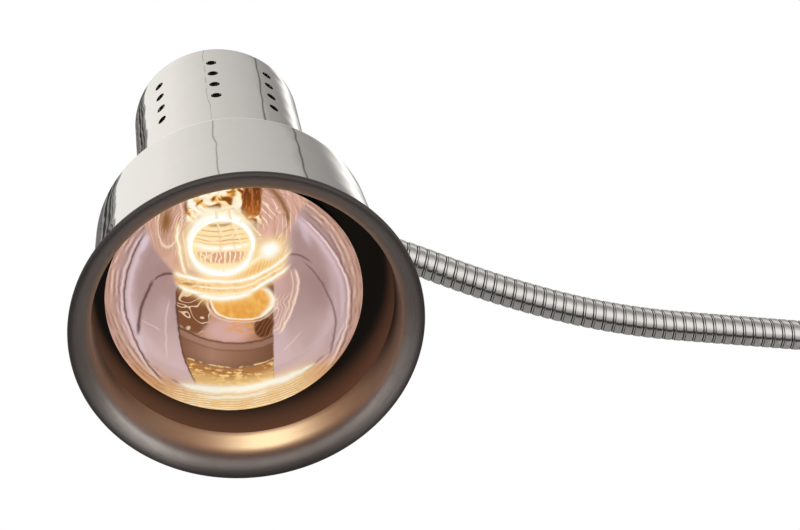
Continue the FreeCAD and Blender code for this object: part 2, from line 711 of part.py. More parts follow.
def glass_stem():
    return turned([
        (None, "filament_height - stem_drop"),
        ("stem_radius", "filament_height - stem_drop"),
        ("stem_radius", "neck_end"),
        ("glass_end_in - seat_gap", "cap_height"),
        ("glass_end_in - seat_gap", "glass_top"),
        (None, "glass_top"),
    ])


def filament():
    ring = doc.addObject("Part::Torus", "Ring")
    place = at(z=size("filament_height"), angle=size("filament_open") / 2)
    return bind(ring, place, Radius1="filament_radius", Radius2="filament_wire",
                Angle3="360 - filament_open")


def straight_wire(radius, start, end):
    run = end - start
    obj = doc.addObject("Part::Cylinder", "Wire")
    bind(obj, Radius=radius)
    obj.Height = run.Length
    obj.Placement = Placement(start, Rotation(Z_AXIS, run))
    return obj


def filament_supports():
    """Short hooks out to the coil, and the two wires that carry it from the neck."""
    height = size("filament_height")
    inner = size("stem_radius") + size("seat_gap")
    outer = size("filament_radius") - size("filament_wire") - size("seat_gap")
    wires = []
    for step in range(int(size("support_count"))):
        swing = (step + 1) / (size("support_count") + 1)
        angle = size("filament_open") / 2 + (FULL_TURN - size("filament_open")) * swing
        ray = Rotation(Z_AXIS, angle).multVec(X_AXIS)
        lift = Vector(0, 0, height)
        wires.append(straight_wire("support_wire", ray * inner + lift, ray * outer + lift))
    for side in (-1, 1):
        ray = Rotation(Z_AXIS, side * size("filament_open") / 2).multVec(X_AXIS)
        low = Vector(0, 0, height + size("filament_wire") + size("support_wire"))
        top = Vector(0, 0, size("neck_end"))
        wires.append(straight_wire("support_wire", ray * size("filament_radius") + low,
                                   ray * (inner + 2 * size("support_wire")) + top))
    return group(*wires)


node("bulb_glass", bulb_glass(), BULB)
node("bulb_cap", bulb_cap(), BULB)
node("cap_insulator", cap_insulator(), BULB)
node("contact_tip", contact_tip(), BULB)
node("glass_stem", glass_stem(), BULB)
node("filament", group(filament()), BULB)
node("filament_supports", filament_supports(), BULB)


# Lamp holder ------------------------------------------------------------------------------------
def screw_shell():
    waves = thread_waves("shell_inner", True) + [("shell_outer", "cap_top")]
    return turned([("shell_outer", "thread_start"), ("shell_inner", "thread_start"), *waves,
                   *thread_waves("shell_outer", False)][1:])


def lamp_holder():
    body = turned([
        ("mouth_radius", "mouth_height"),
        ("holder_radius", "mouth_height"),
        ("holder_radius", "holder_top - holder_bevel"),
        ("holder_radius - holder_bevel", "holder_top"),
        (None, "holder_top"),
        (None, "contact_top"),
        ("contact_bore", "contact_top"),
        ("contact_bore", "cap_top + joint_gap"),
        ("holder_bore", "cap_top + joint_gap"),
        ("holder_bore", "thread_start"),
    ])
    depth = size("holder_top") - size("holder_screw_depth")
    holes = [cylinder("screw_radius + seat_gap", "holder_screw_depth", at(y=y, z=depth))
             for y in (-size("holder_screw_offset"), size("holder_screw_offset"))]
    holes.append(cylinder("rivet_radius + seat_gap", "rivet_length",
                          at(z=size("contact_top"))))
    return cut(body, *holes)


def centre_contact():
    disc = cylinder("contact_radius", "contact_thick", at(z=size("bulb_top")))
    return join(disc, cylinder("rivet_radius", "rivet_length", at(z=size("contact_top"))))


def holder_terminals():
    posts = []
    for x in (-size("terminal_offset"), size("terminal_offset")):
        posts.append(cylinder("terminal_radius", "terminal_height", at(x, 0, size("holder_top"))))
    return group(*posts)


def holder_strap():
    """A bent strap: the holder hangs under its middle, its two feet lie against the roof."""
    rise = "canopy_ceiling - holder_top"
    base, roof = size("holder_top"), size("canopy_ceiling") - size("strap_thick")
    pieces = [block("strap_width", "2 * strap_half", "strap_thick", z=base)]
    holes = [cylinder("screw_radius + hole_gap", "strap_thick", at(y=y, z=base))
             for y in (-size("holder_screw_offset"), size("holder_screw_offset"))]
    for side in (-1, 1):
        leg = side * (size("strap_half") - size("strap_thick") / 2)
        foot = side * (size("strap_half") + size("strap_foot") / 2)
        bolt = side * (size("strap_half") + size("strap_screw_inset"))
        pieces.append(block("strap_width", "strap_thick", rise, y=leg, z=base))
        pieces.append(block("strap_width", "strap_foot", "strap_thick", y=foot, z=roof))
        holes.append(cylinder("screw_radius + hole_gap", "strap_thick", at(y=bolt, z=roof)))
    return cut(join(*pieces), *holes)


def holder_screws():
    length = "strap_thick + holder_screw_depth - slot_depth"
    return group(*[screw("screw_radius", length, "screw_head_radius", "screw_head_height",
                         at(y=y, z=size("strap_top")))
                   for y in (-size("holder_screw_offset"), size("holder_screw_offset"))])


def canopy_fasteners():
    """The screws through the canopy's top, their nuts, and the earth tag under one of them."""
    length = "shade_wall + strap_thick + tag_thick + nut_height + slot_depth"
    roof = size("canopy_ceiling") - size("strap_thick")
    tag_base = roof - size("tag_thick")
    x, rows = size("bulb_off_x"), strap_screw_rows()
    screws = [screw("screw_radius", length, "screw_head_radius", "screw_head_height",
                    at(x, y, size("canopy_top"))) for y in rows]
    node("canopy_screws", group(*screws), HEAD)
    nuts = [hex_nut(at(x, y, top - size("nut_height"))) for y, top in zip(rows, (roof, tag_base))]
    node("canopy_nuts", group(*nuts), HEAD)
    middle = x + (size("tag_length") - size("tag_width")) / 2
    plate = block("tag_length", "tag_width", "tag_thick", middle, rows[1], tag_base)
    hole = cylinder("screw_radius + hole_gap", "tag_thick", at(x, rows[1], tag_base))
    node("earth_tag", cut(plate, hole), HEAD)


def head_leads():
    """Three leads from the arm's cable: to the two terminals and to the earth tag."""
    start, riser = size("canopy_inner - nipple_inside"), size("lead_riser")
    level, spread = size("arm_height"), size("lead_spread")
    bulb_x, bulb_y = size("bulb_off_x"), size("bulb_off_y")
    terminal = size("holder_top + terminal_height")
    routes = {}
    for name, y, over, side in (("live_lead", -spread, size("lead_height"), 1),
                                ("neutral_lead", 0, size("lead_height + lead_spread"), -1)):
        x = bulb_x + side * size("terminal_offset")
        routes[name] = [(start, y, level), (riser, y, level), (riser, y, over),
                        (x, bulb_y, over), (x, bulb_y, terminal)]
    tag_base = size("canopy_ceiling - strap_thick - tag_thick")
    over = tag_base - size("tag_height")
    x = bulb_x + size("tag_length - tag_width / 2 - 2 * lead_radius")
    y = strap_screw_rows()[1]
    routes["earth_lead"] = [(start, spread, level), (riser, spread, level),
                            (riser, spread, over), (x, y, over), (x, y, tag_base)]
    node("socket_leads", leads(*routes.values()), HEAD)


node("screw_shell", screw_shell(), BULB)
node("lamp_holder", lamp_holder(), BULB)
node("centre_contact", centre_contact(), BULB)
node("holder_terminals", holder_terminals(), BULB)
node("holder_strap", holder_strap(), BULB)
node("holder_screws", holder_screws(), BULB)
canopy_fasteners()
head_leads()


# Base -------------------------------------------------------------------------------------------
def foot_mat():
    """A rubber disc glued under the weight; it hides the heads of the weight's screws."""
    return turned([(None, None), ("foot_radius - foot_bevel", None), ("foot_radius", "foot_bevel"),
                   ("foot_radius", "foot_height"), (None, "foot_height")])


def base_weight():
    disc = turned([(None, "foot_height"), ("weight_radius", "foot_height"),
                   ("weight_radius", "weight_top"), (None, "weight_top")])
    notch = block("notch_width", "2 * notch_depth", "weight_top", y=size("weight_radius"))
    pocket = block("switch_width + 2 * pocket_margin", "switch_length + 2 * pocket_margin",
                   "pocket_depth", y=-size("switch_offset"), z=size("weight_top - pocket_depth"))
    holes = []
    for x, y in spots("post_circle", "post_count"):
        holes.append(cylinder("weight_screw_radius + hole_gap", "weight_top", at(x, y)))
        holes.append(cylinder("weight_screw_head + hole_gap", "weight_screw_head_height",
                              at(x, y, size("foot_height"))))
    return cut(disc, notch, pocket, *holes)


def base_cover():
    shell = turned([
        ("cover_inner", "foot_height"),
        ("base_radius", "foot_height"),
        ("base_radius", "cover_corner_start"),
        ("cover_edge", "base_height", "base_corner", "left"),
        ("nipple_hole", "base_height"),
        ("nipple_hole", "cover_ceiling"),
        ("cover_edge", "cover_ceiling"),
        ("cover_inner", "cover_corner_start", "cover_corner_inner", "right"),
    ])
    opening = block("switch_width + 2 * hole_gap", "switch_length + 2 * hole_gap",
                    "base_height", y=-size("switch_offset"), z=size("switch_base"))
    gland_hole = cylinder("gland_radius + hole_gap", "base_radius",
                          at(0, 0, size("gland_level"), X_AXIS, -QUARTER_TURN))
    far_half = at(y=size("base_radius") / 2)
    gland_hole.Placement = far_half.multiply(gland_hole.Placement)
    return cut(shell, opening, gland_hole)


def base_posts():
    bore = size("weight_top")
    posts = []
    for x, y in spots("post_circle", "post_count"):
        post = cylinder("post_radius", "cover_ceiling - weight_top", at(x, y, bore))
        thread = cylinder("weight_screw_radius + seat_gap", "weight_screw_length", at(x, y))
        posts.append(cut(post, thread))
    return group(*posts)


def weight_screws():
    top = "weight_screw_length - foot_height - weight_screw_head_height - seat_gap"
    seat = size("foot_height + weight_screw_head_height")
    return group(*[screw("weight_screw_radius", top, "weight_screw_head",
                         "weight_screw_head_height", at(x, y, seat, X_AXIS, HALF_TURN))
                   for x, y in spots("post_circle", "post_count")])


def foot_fittings():
    """The joint between the base's cover and the arm's foot."""
    node("foot_ferrule", foot_ferrule(), at(z=size("base_height")))
    plate = cut(cylinder("stiffener_radius", "stiffener_thick"),
                cylinder("nipple_hole", "stiffener_thick"))
    node("stiffener_plate", plate, at(z=size("stiffener_base")))
    washer = cut(cylinder("washer_radius", "washer_thick"),
                 cylinder("nipple_hole", "washer_thick"))
    washer_base = size("stiffener_base - washer_thick")
    node("foot_washer", washer, at(z=washer_base))
    nut = cut(hexagon("arm_nut_radius", "arm_nut_height"),
              cylinder("nipple_hole", "arm_nut_height"))
    node("foot_lock_nut", nut, at(z=washer_base - size("arm_nut_height")))


def rocker_switch():
    """The housing clips into the cover; the rocker tips on the pin moulded across it."""
    front = -size("switch_offset")
    full_depth = "switch_depth + bezel_height"
    width, length = "switch_width - 2 * switch_wall", "switch_length - 2 * switch_wall"
    shell = join(
        block("switch_width", "switch_length", full_depth, y=front, z=size("switch_base")),
        block("switch_width + 2 * switch_flange", "switch_length + 2 * switch_flange",
              "bezel_height", y=front, z=size("base_height")))
    cavity = block(width, length, full_depth, y=front, z=size("switch_base + switch_wall"))
    pin = cylinder("pivot_radius", "switch_width")
    pin.Placement = at(-size("switch_width") / 2, front, size("pivot_height"),
                       Y_AXIS, QUARTER_TURN)
    node("switch_housing", join(cut(shell, cavity), pin))

    swing = cylinder("switch_length / 2 - switch_wall - rocker_gap",
                     "switch_width - 2 * switch_wall - 2 * rocker_gap")
    half_width = size("switch_width / 2 - switch_wall - rocker_gap")
    swing.Placement = at(x=-half_width, axis=Y_AXIS, angle=QUARTER_TURN)
    rocker = swing
    for tilt in (-size("rocker_tilt"), size("rocker_tilt")):
        slab = block("switch_width", "2 * switch_length", "rocker_crown + rocker_drop")
        slab.Placement = at(axis=X_AXIS, angle=tilt).multiply(
            at(-size("switch_width") / 2, -size("switch_length"), -size("rocker_drop")))
        rocker = common(rocker, slab)
    bore = cylinder("pivot_radius + pivot_gap", "switch_width")
    bore.Placement = at(x=-size("switch_width") / 2, axis=Y_AXIS, angle=QUARTER_TURN)
    node("switch_rocker", cut(rocker, bore),
         at(0, front, size("pivot_height"), X_AXIS, -size("rocker_tilt")))

    blades = [block("blade_thick", "blade_width", "blade_length", side * size("blade_offset"),
                    front, size("switch_base - blade_length")) for side in (-1, 1)]
    node("switch_blades", group(*blades))


def block_spots():
    """The terminal block's ways, side by side along X."""
    ways = int(size("block_ways"))
    return [(way - (ways - 1) / 2) * size("block_pitch") for way in range(ways)]


def terminal_block():
    front = size("block_offset")
    body = block("block_ways * block_pitch + block_wall", "block_width", "block_height",
                 y=front, z=size("weight_top"))
    ways = []
    for x in block_spots():
        start = at(x, front - size("block_width") / 2, size("lead_run"), X_AXIS, -QUARTER_TURN)
        ways.append(cylinder("block_bore", "block_width", start))
    node("terminal_block", cut(body, *ways))
    top = size("weight_top + block_height")
    heads = [cylinder("block_screw_radius", "block_screw_height", at(x, front + row, top))
             for x in block_spots() for row in (-size("block_width") / 4, size("block_width") / 4)]
    node("terminal_screws", group(*heads))


def base_leads():
    """From the arm's cable and from the switch to the terminal block."""
    run, top = size("lead_run"), size("foot_nipple_end")
    plug = size("block_offset - block_width / 2 + lead_plug")
    ways = block_spots()
    routes = []
    for x, way in zip((-size("lead_spread"), 0.0, size("lead_spread")), ways[1:4]):
        fan = [(x, size("fan_start"), run), (way, size("fan_end"), run)] if x else []
        routes.append([(x, 0, top), (x, 0, run), *fan, (way, plug, run)])
    blade = size("blade_width / 2 - switch_offset")
    for side, way in ((-1, ways[0]), (1, ways[-1])):
        x = side * size("blade_offset")
        routes.append([(x, blade, run), (x, -size("fan_end"), run),
                       (way, -size("fan_start"), run), (way, plug, run)])
    node("base_leads", leads(*routes))


def cord_gland():
    """An empty gland for the supply cord, in the back of the cover."""
    face = "gland_inside + gland_flange"
    body = turned([
        ("gland_bore", None),
        ("gland_radius", None),
        ("gland_radius", "gland_inside"),
        ("gland_flange_radius", "gland_inside"),
        ("gland_flange_radius", face),
        ("gland_radius", face),
        ("gland_radius", "gland_inside + gland_reach - gland_flange"),
        ("gland_radius - gland_flange", "gland_inside + gland_reach"),
        ("gland_bore", "gland_inside + gland_reach"),
    ])
    level = size("gland_level")
    node("cord_gland", body,
         at(0, size("base_radius - gland_inside"), level, X_AXIS, -QUARTER_TURN))
    nut = cut(hexagon("gland_nut_radius", "gland_nut_height"),
              cylinder("gland_radius + seat_gap", "gland_nut_height"))
    back = size("cover_inner - gland_nut_back - gland_nut_height")
    node("gland_nut", nut, at(0, back, level, X_AXIS, -QUARTER_TURN))


node("foot_mat", foot_mat())
node("base_weight", base_weight())
node("base_cover", base_cover())
node("base_posts", base_posts())
node("weight_screws", weight_screws())
foot_fittings()
rocker_switch()
terminal_block()
base_leads()
cord_gland()


# Check and write --------------------------------------------------------------------------------
def faulty(obj):
    return "Invalid" in obj.State or "Error" in obj.State


def export():
    doc.recompute()
    broken = [obj.Name for obj in doc.Objects if faulty(obj)]
    if broken:
        raise RuntimeError("failed: " + ", ".join(broken))
    for obj in nodes:
        if obj.Shape.isNull() or not obj.Shape.isValid() or not obj.Shape.Solids:
            raise RuntimeError("not a sound solid: " + obj.Label)
    os.makedirs("parts", exist_ok=True)
    for obj in nodes:
        obj.Shape.exportStep("parts/%s.step" % obj.Label)


export()
print(len(nodes), "nodes")
for name, place, axis in arm_joints:
    print("joint", name, [round(value, 4) for value in (*place, *axis)])
for name, place in (("head", HEAD), ("bulb", BULB)):
    turn = place.Rotation
    axes = [round(value, 6) for way in (X_AXIS, Z_AXIS) for value in turn.multVec(way)]
    print(name, [round(value, 4) for value in place.Base], axes)
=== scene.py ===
"""Dresses the infrared heat lamp over its frame: shade, bulb, gooseneck, fittings and base."""
import json
from math import asin, atan2, ceil, cos, degrees, pi, radians, sin
import bpy
from mathutils import Matrix, Vector


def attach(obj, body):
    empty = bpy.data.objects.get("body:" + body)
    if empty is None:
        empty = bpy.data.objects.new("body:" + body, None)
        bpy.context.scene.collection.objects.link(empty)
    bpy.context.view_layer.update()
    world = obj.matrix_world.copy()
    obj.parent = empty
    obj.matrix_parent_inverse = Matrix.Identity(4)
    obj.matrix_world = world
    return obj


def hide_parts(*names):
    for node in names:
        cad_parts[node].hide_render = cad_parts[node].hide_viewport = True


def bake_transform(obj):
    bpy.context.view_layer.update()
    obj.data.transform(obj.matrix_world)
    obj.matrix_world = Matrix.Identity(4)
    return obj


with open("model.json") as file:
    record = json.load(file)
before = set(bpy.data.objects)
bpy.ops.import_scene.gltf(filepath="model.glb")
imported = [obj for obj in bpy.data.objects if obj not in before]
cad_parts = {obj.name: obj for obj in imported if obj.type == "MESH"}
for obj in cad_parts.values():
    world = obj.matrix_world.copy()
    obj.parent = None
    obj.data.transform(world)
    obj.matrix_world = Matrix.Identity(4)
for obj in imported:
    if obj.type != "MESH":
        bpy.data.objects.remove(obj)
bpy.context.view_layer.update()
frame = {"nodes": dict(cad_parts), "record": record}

MM = 0.001


# Frames of reference --------------------
def basis(origin, x_axis, z_axis):
    """A matrix from millimetres in a sub-frame to metres in the lamp's frame."""
    x_axis, z_axis = Vector(x_axis).normalized(), Vector(z_axis).normalized()
    y_axis = z_axis.cross(x_axis)
    turn = Matrix((x_axis, y_axis, z_axis)).transposed().to_4x4()
    return Matrix.Translation(Vector(origin) * MM) @ turn @ Matrix.Scale(MM, 4)


HEAD_X, HEAD_Z = (0.969265, 0.199508, -0.143951), (-0.045309, 0.719875, 0.692623)
HEAD = basis((-471.1138, -108.3706, 261.9856), HEAD_X, HEAD_Z)
BULB = basis((-474.3581, -105.1796, 258.4568), HEAD_X, HEAD_Z)

# Camera --------------------
def linked(name, data):
    """A new object in the scene."""
    obj = bpy.data.objects.new(name, data)
    bpy.context.scene.collection.objects.link(obj)
    return obj


camera = linked("camera", bpy.data.cameras.new("camera"))
RIGHT = Vector((0.98782448, -0.15557248, 0))
UP = Vector((-0.04026512, -0.25566779, 0.96592583))
AHEAD = Vector((0.15027148, 0.95416518, 0.25881905))
SIGHT = Vector((-0.521876, -0.879616, 0.088984))
# SIGHT is where the camera stands. The bulb's glow is laid out from there too, by constants in
# the lamp's own frame: a sighting comes out across and down in a field 800 wide and 530 high.
SIGHT_SCALE, SIGHT_MIDDLE = 1700, (400, 265)
camera.matrix_world = Matrix.Translation(SIGHT) @ Matrix((RIGHT, UP, -AHEAD)).transposed().to_4x4()
camera.data.sensor_width = 36
camera.data.lens = 76.5
camera.data.clip_start = 0.01
camera.data.clip_end = 100
bpy.context.scene.camera = camera


# Materials --------------------
def tint(red, green, blue):
    """A colour given in 0 to 255, as it should appear, made linear."""
    return tuple(((part / 255 + 0.055) / 1.055) ** 2.4 if part > 10 else part / 255 / 12.92
                 for part in (red, green, blue))


class Number:
    """A value or colour in a node tree that can be reckoned with."""

    def __init__(self, shade, socket):
        self.shade, self.socket = shade, socket

    def do(self, operation, *others):
        return self.shade.maths(operation, self, *others)

    def __add__(self, other):
        return self.do("ADD", other)

    def __sub__(self, other):
        return self.do("SUBTRACT", other)

    def __mul__(self, other):
        return self.do("MULTIPLY", other)

    def __truediv__(self, other):
        return self.do("DIVIDE", other)

    def __rsub__(self, other):
        return self.shade.maths("SUBTRACT", other, self)

    def square(self):
        return self * self

    def bell(self, width):
        """One at zero, falling off softly to both sides."""
        return (self.square() * (-1 / width ** 2)).do("EXPONENT")

    def step(self, low, high):
        """A soft step from nought at low to one at high."""
        made = self.shade.node("ShaderNodeMapRange", interpolation_type="SMOOTHSTEP",
                               in_0=self, in_1=low, in_2=high)
        return Number(self.shade, made.outputs[0])

    def window(self, low, high, edge):
        """One between low and high, with soft edges."""
        return self.step(low - edge, low + edge) * self.step(high + edge, high - edge)


class Shade:
    """A small node tree builder."""

    def __init__(self, name, world=False):
        self.material = (bpy.data.worlds if world else bpy.data.materials).new(name)
        self.material.use_nodes = True
        self.tree = self.material.node_tree
        self.tree.nodes.clear()
        self.out = self.node("ShaderNodeOutputWorld" if world else "ShaderNodeOutputMaterial")

    def node(self, kind, **values):
        """A node; in_NAME or in_NUMBER fills a socket, any other name a property."""
        made = self.tree.nodes.new(kind)
        for key, value in values.items():
            if key.startswith("in_"):
                key = key[3:].replace("_", " ")
                self.put(made.inputs[int(key) if key.isdigit() else key], value)
            else:
                setattr(made, key, value)
        return made

    def put(self, socket, value):
        """Link a value to a socket, or set the socket to it."""
        if isinstance(value, Number):
            value = value.socket
        elif isinstance(value, bpy.types.Node):
            value = value.outputs[0]
        if isinstance(value, bpy.types.NodeSocket):
            self.tree.links.new(value, socket)
        elif socket.type == "RGBA":
            socket.default_value = (*value, 1)
        else:
            socket.default_value = value

    def maths(self, operation, *values):
        made = self.node("ShaderNodeMath", operation=operation)
        for socket, value in zip(made.inputs, values):
            self.put(socket, value)
        return Number(self, made.outputs[0])

    def dot(self, source, direction, less=0):
        made = self.node("ShaderNodeVectorMath", operation="DOT_PRODUCT",
                         in_0=source, in_1=direction)
        return Number(self, made.outputs["Value"]) - less

    def vector(self, x, y=0, z=0):
        return self.node("ShaderNodeCombineXYZ", in_0=x, in_1=y, in_2=z)

    def place(self, matrix=None):
        """Position in the lamp's frame, or in a sub-frame's millimetres."""
        source = self.node("ShaderNodeTexCoord").outputs["Object"]
        if matrix is None:
            return source
        return self.vector(*(self.dot(source, row[:3], -row[3]) for row in matrix.inverted()[:3]))

    def sighted(self):
        """Where a point lies across and down in a fixed view of the open shade."""
        source = self.place()
        far = self.dot(source, AHEAD, SIGHT.dot(AHEAD))
        across = self.dot(source, RIGHT, SIGHT.dot(RIGHT)) / far * SIGHT_SCALE + SIGHT_MIDDLE[0]
        down = self.dot(source, UP, SIGHT.dot(UP)) / far * -SIGHT_SCALE + SIGHT_MIDDLE[1]
        return across, down

    def polar(self, matrix):
        """Radius, angle and height about a sub-frame's axis."""
        split = self.node("ShaderNodeSeparateXYZ", in_0=self.place(matrix))
        x, y, z = (Number(self, part) for part in split.outputs)
        return (x * x + y * y).do("SQRT"), y.do("ARCTAN2", x), z

    def noise(self, where, scale, detail, rough=0.5, distort=0):
        made = self.node("ShaderNodeTexNoise", in_Scale=scale, in_Detail=detail,
                         in_Roughness=rough, in_Distortion=distort, in_Vector=where)
        return Number(self, made.outputs[0])

    def brushed(self, matrix, across, along, *looks):
        """Noise drawn out round a sub-frame's axis, as brushing or spinning leaves it."""
        radius, angle, z = self.polar(matrix)
        return self.noise(self.vector(angle.do("COSINE") * across, angle.do("SINE") * across,
                                      (z + radius) * along), 1, *looks)

    def ramp(self, value, *stops):
        """Levels or colours at positions along a value."""
        made = self.node("ShaderNodeValToRGB", in_0=value)
        elements = made.color_ramp.elements
        while len(elements) < len(stops):
            elements.new(0.5)
        for element, (position, colour) in zip(elements, stops):
            element.position = position
            element.color = (*colour, 1) if isinstance(colour, tuple) else (*[colour] * 3, 1)
        return Number(self, made.outputs[0])

    def mix(self, factor, first, second, blend="MIX"):
        made = self.node("ShaderNodeMix", data_type="RGBA", blend_type=blend,
                         in_0=factor, in_6=first, in_7=second)
        return Number(self, made.outputs[2])

    def either(self, factor, first, second):
        """A mix of two shaders."""
        return self.node("ShaderNodeMixShader", in_0=factor, in_1=first, in_2=second)

    def bump(self, height, strength, distance):
        return self.node("ShaderNodeBump", in_Strength=strength, in_Distance=distance,
                         in_Height=height)

    def show(self, shader):
        """Put a shader on the surface, and hand the material back."""
        self.put(self.out.inputs[0], shader)
        return self.material

    def principled(self, **values):
        return self.show(self.node("ShaderNodeBsdfPrincipled",
                                   **{"in_" + key: value for key, value in values.items()}))


def satin_metal(name, light, dark, rough, scale=900):
    shade = Shade(name)
    grain = shade.noise(shade.place(), scale, 4, 0.6)
    cloud = shade.noise(shade.place(), 30, 2)
    return shade.principled(Base_Color=shade.mix(grain * 0.6 + cloud * 0.4, dark, light),
                            Metallic=1, Roughness=cloud * 0.12 + rough,
                            Normal=shade.bump(grain, 0.15, 0.0002))


def plain(name, light, dark, rough, scale=400, bump=0.2, coat=0):
    shade = Shade(name)
    grain = shade.noise(shade.place(), scale, 4, 0.6)
    cloud = shade.noise(shade.place(), 25, 2)
    return shade.principled(Base_Color=shade.mix(cloud, dark, light), Coat_Weight=coat,
                            Roughness=grain * 0.15 + rough, Normal=shade.bump(grain, bump, 0.0003))


def polished_shade():
    """The outside of the shade: polished metal with faint drawing lines and soft ripples."""
    shade = Shade("shade_polished")
    lines = shade.brushed(HEAD, 6, 0.9, 5, 0.65)
    ripple = shade.noise(shade.place(HEAD), 0.04, 1, 0.4)
    colour = shade.mix(lines, (0.82, 0.785, 0.75), (0.88, 0.85, 0.81))
    radius, _, height = shade.polar(HEAD)
    # A dark line round the canopy's foot: the seam with the shoulder, darkened as painted shade in
    # that corner. Painted highlight: a faint glow along the shoulder's edge.
    seam_and_corner_shade = (height - 90).bell(0.5) * radius.step(48, 47.3)
    edge = (height - 88.75).bell(0.4) * radius.step(66, 68.5)
    return shade.principled(Base_Color=shade.mix(seam_and_corner_shade * 0.45, colour, (0.3, 0.28, 0.27)),
                            Metallic=1, Emission_Color=(1, 0.98, 0.95),
                            Emission_Strength=edge * 0.3, Roughness=lines * 0.01 + 0.025,
                            Normal=shade.bump(ripple, 0.13, 0.0032))


# The side of the brim that hangs lowest, as an angle about the head's axis.
LOW_SIDE = radians(64.7)


def satin_brim():
    """The brim and the lip inside it: dark satin metal brushed round, with painted highlights,
    painted shade and the bulb's warm light painted on.
    """
    shade = Shade("shade_satin")
    lines = shade.brushed(HEAD, 1.6, 3.2, 6, 0.7)
    fine = shade.brushed(HEAD, 9, 1.6, 5, 0.7)
    cloud = shade.noise(shade.place(HEAD), 0.03, 2)
    radius, angle, height = shade.polar(HEAD)
    low = (angle - LOW_SIDE).do("COSINE")
    aside = (angle - LOW_SIDE).do("SINE")
    colour = shade.mix(lines * 0.5 + fine * 0.3 + cloud * 0.2, (0.108, 0.084, 0.076),
                       (0.36, 0.318, 0.298))
    # Painted highlights: paler at the lower left and the right.
    painted_highlight = low.step(0, 0.5) * (aside - 0.8).bell(0.24) * 0.95
    painted_highlight = painted_highlight + (aside + 0.84).bell(0.22) * low.step(-0.1, 0.4) * 0.8
    colour = shade.mix(painted_highlight * radius.window(72.5, 80, 2.5) * (fine + 0.4), colour,
                       (0.58, 0.53, 0.5))
    # Painted shade: darker at the rim, on the low side and deep inside. Painted light: warmer where
    # the bulb shines on it.
    rim = radius.step(79, 82.6) * 0.7
    rim = rim + low.step(0.8, 1) * radius.step(74, 79) * (1 - rim) * 0.45
    colour = shade.mix(rim, colour, (0.03, 0.027, 0.026))
    warm = height.step(1, 9).do("MAXIMUM", low.step(-0.55, -1) * radius.step(82, 76))
    colour = shade.mix(warm * 0.5, colour, (0.26, 0.18, 0.145))
    deep = height.step(9, 22) * low.step(0.8, 0.25)
    colour = shade.mix(deep * 0.92, colour, (0.02, 0.016, 0.013))
    # The bulb's light on the lip: a glare low down, a band round it and a soft glow above.
    band = height.window(9.5, 23, 3.5) * low.step(0.62, 0.98)
    glare = band * (aside + 0.02).bell(0.34)
    lit = height.step(1, 12) * low.step(0.35, 0.98) * 0.035 + height.step(4, 9) * 0.01
    lit = lit + low.step(-0.5, -1) * radius.step(82, 78) * 0.03
    lit = lit * height.step(25, 17)
    upper = height.window(12, 24, 2) * low.step(-0.75, -0.95) * 0.28
    warmth = shade.mix(glare + upper, (0.54, 0.27, 0.15), tint(255, 228, 180))
    strength = (glare * 0.95 + band * 0.14 + lit + upper) * (fine * 0.5 + lines * 0.4 + 0.55)
    return shade.principled(Base_Color=colour, Metallic=0.9, Roughness=lines * 0.16 + 0.34,
                            Normal=shade.bump(lines, 0.2, 0.0006), Emission_Strength=1,
                            Emission_Color=shade.mix(strength, (0, 0, 0), warmth))


def dark_inside():
    """Inside the shade, behind the bulb: near black as painted shade, with a faint painted glow for
    light through the gap round the bulb.
    """
    shade = Shade("shade_inside")
    lines = shade.brushed(HEAD, 1.6, 1.5, 4, 0.6)
    _, angle, height = shade.polar(HEAD)
    low = (angle - LOW_SIDE).do("COSINE")
    warmth = height.step(50, 24) * (low.step(-0.5, 0.8) * 0.75 + 0.25)
    return shade.principled(
        Base_Color=shade.mix(lines, (0.004, 0.0035, 0.003), (0.014, 0.012, 0.011)), Metallic=0,
        Roughness=0.8, Specular_IOR_Level=0.1, Emission_Strength=1,
        Emission_Color=shade.mix(warmth, tint(20, 16, 13), tint(86, 54, 38)))


def strip_metal():
    """The gooseneck's wound strip."""
    shade = Shade("strip_metal")
    grain = shade.noise(shade.place(), 2600, 3, 0.6)
    cloud = shade.noise(shade.place(), 60, 2)
    return shade.principled(
        Base_Color=shade.mix(grain * 0.5 + cloud * 0.5, (0.66, 0.64, 0.62), (0.84, 0.82, 0.8)),
        Metallic=1, Roughness=grain * 0.1 + 0.12, Normal=shade.bump(grain, 0.12, 0.0001))


# The gooseneck's grooves: near black, painted shade in the gaps between the turns of strip.
def strip_groove():
    shade = Shade("strip_groove")
    grain = shade.noise(shade.place(), 900, 2)
    colour = shade.mix(grain, (0.012, 0.011, 0.01), (0.045, 0.042, 0.038))
    return shade.principled(Base_Color=colour, Metallic=0.6, Roughness=0.5)


def bulb_mirror():
    """The outside of the bulb's silvered wall."""
    shade = Shade("bulb_mirror")
    wave = shade.noise(shade.place(BULB), 0.05, 2, 0.5, 1)
    fine = shade.brushed(BULB, 5, 0.12, 4, 0.6, 0.4)
    return shade.principled(Base_Color=shade.mix(fine, (0.05, 0.042, 0.038), (0.11, 0.095, 0.088)),
                            Metallic=1, Roughness=fine * 0.1 + 0.3,
                            Normal=shade.bump(wave, 0.3, 0.004))


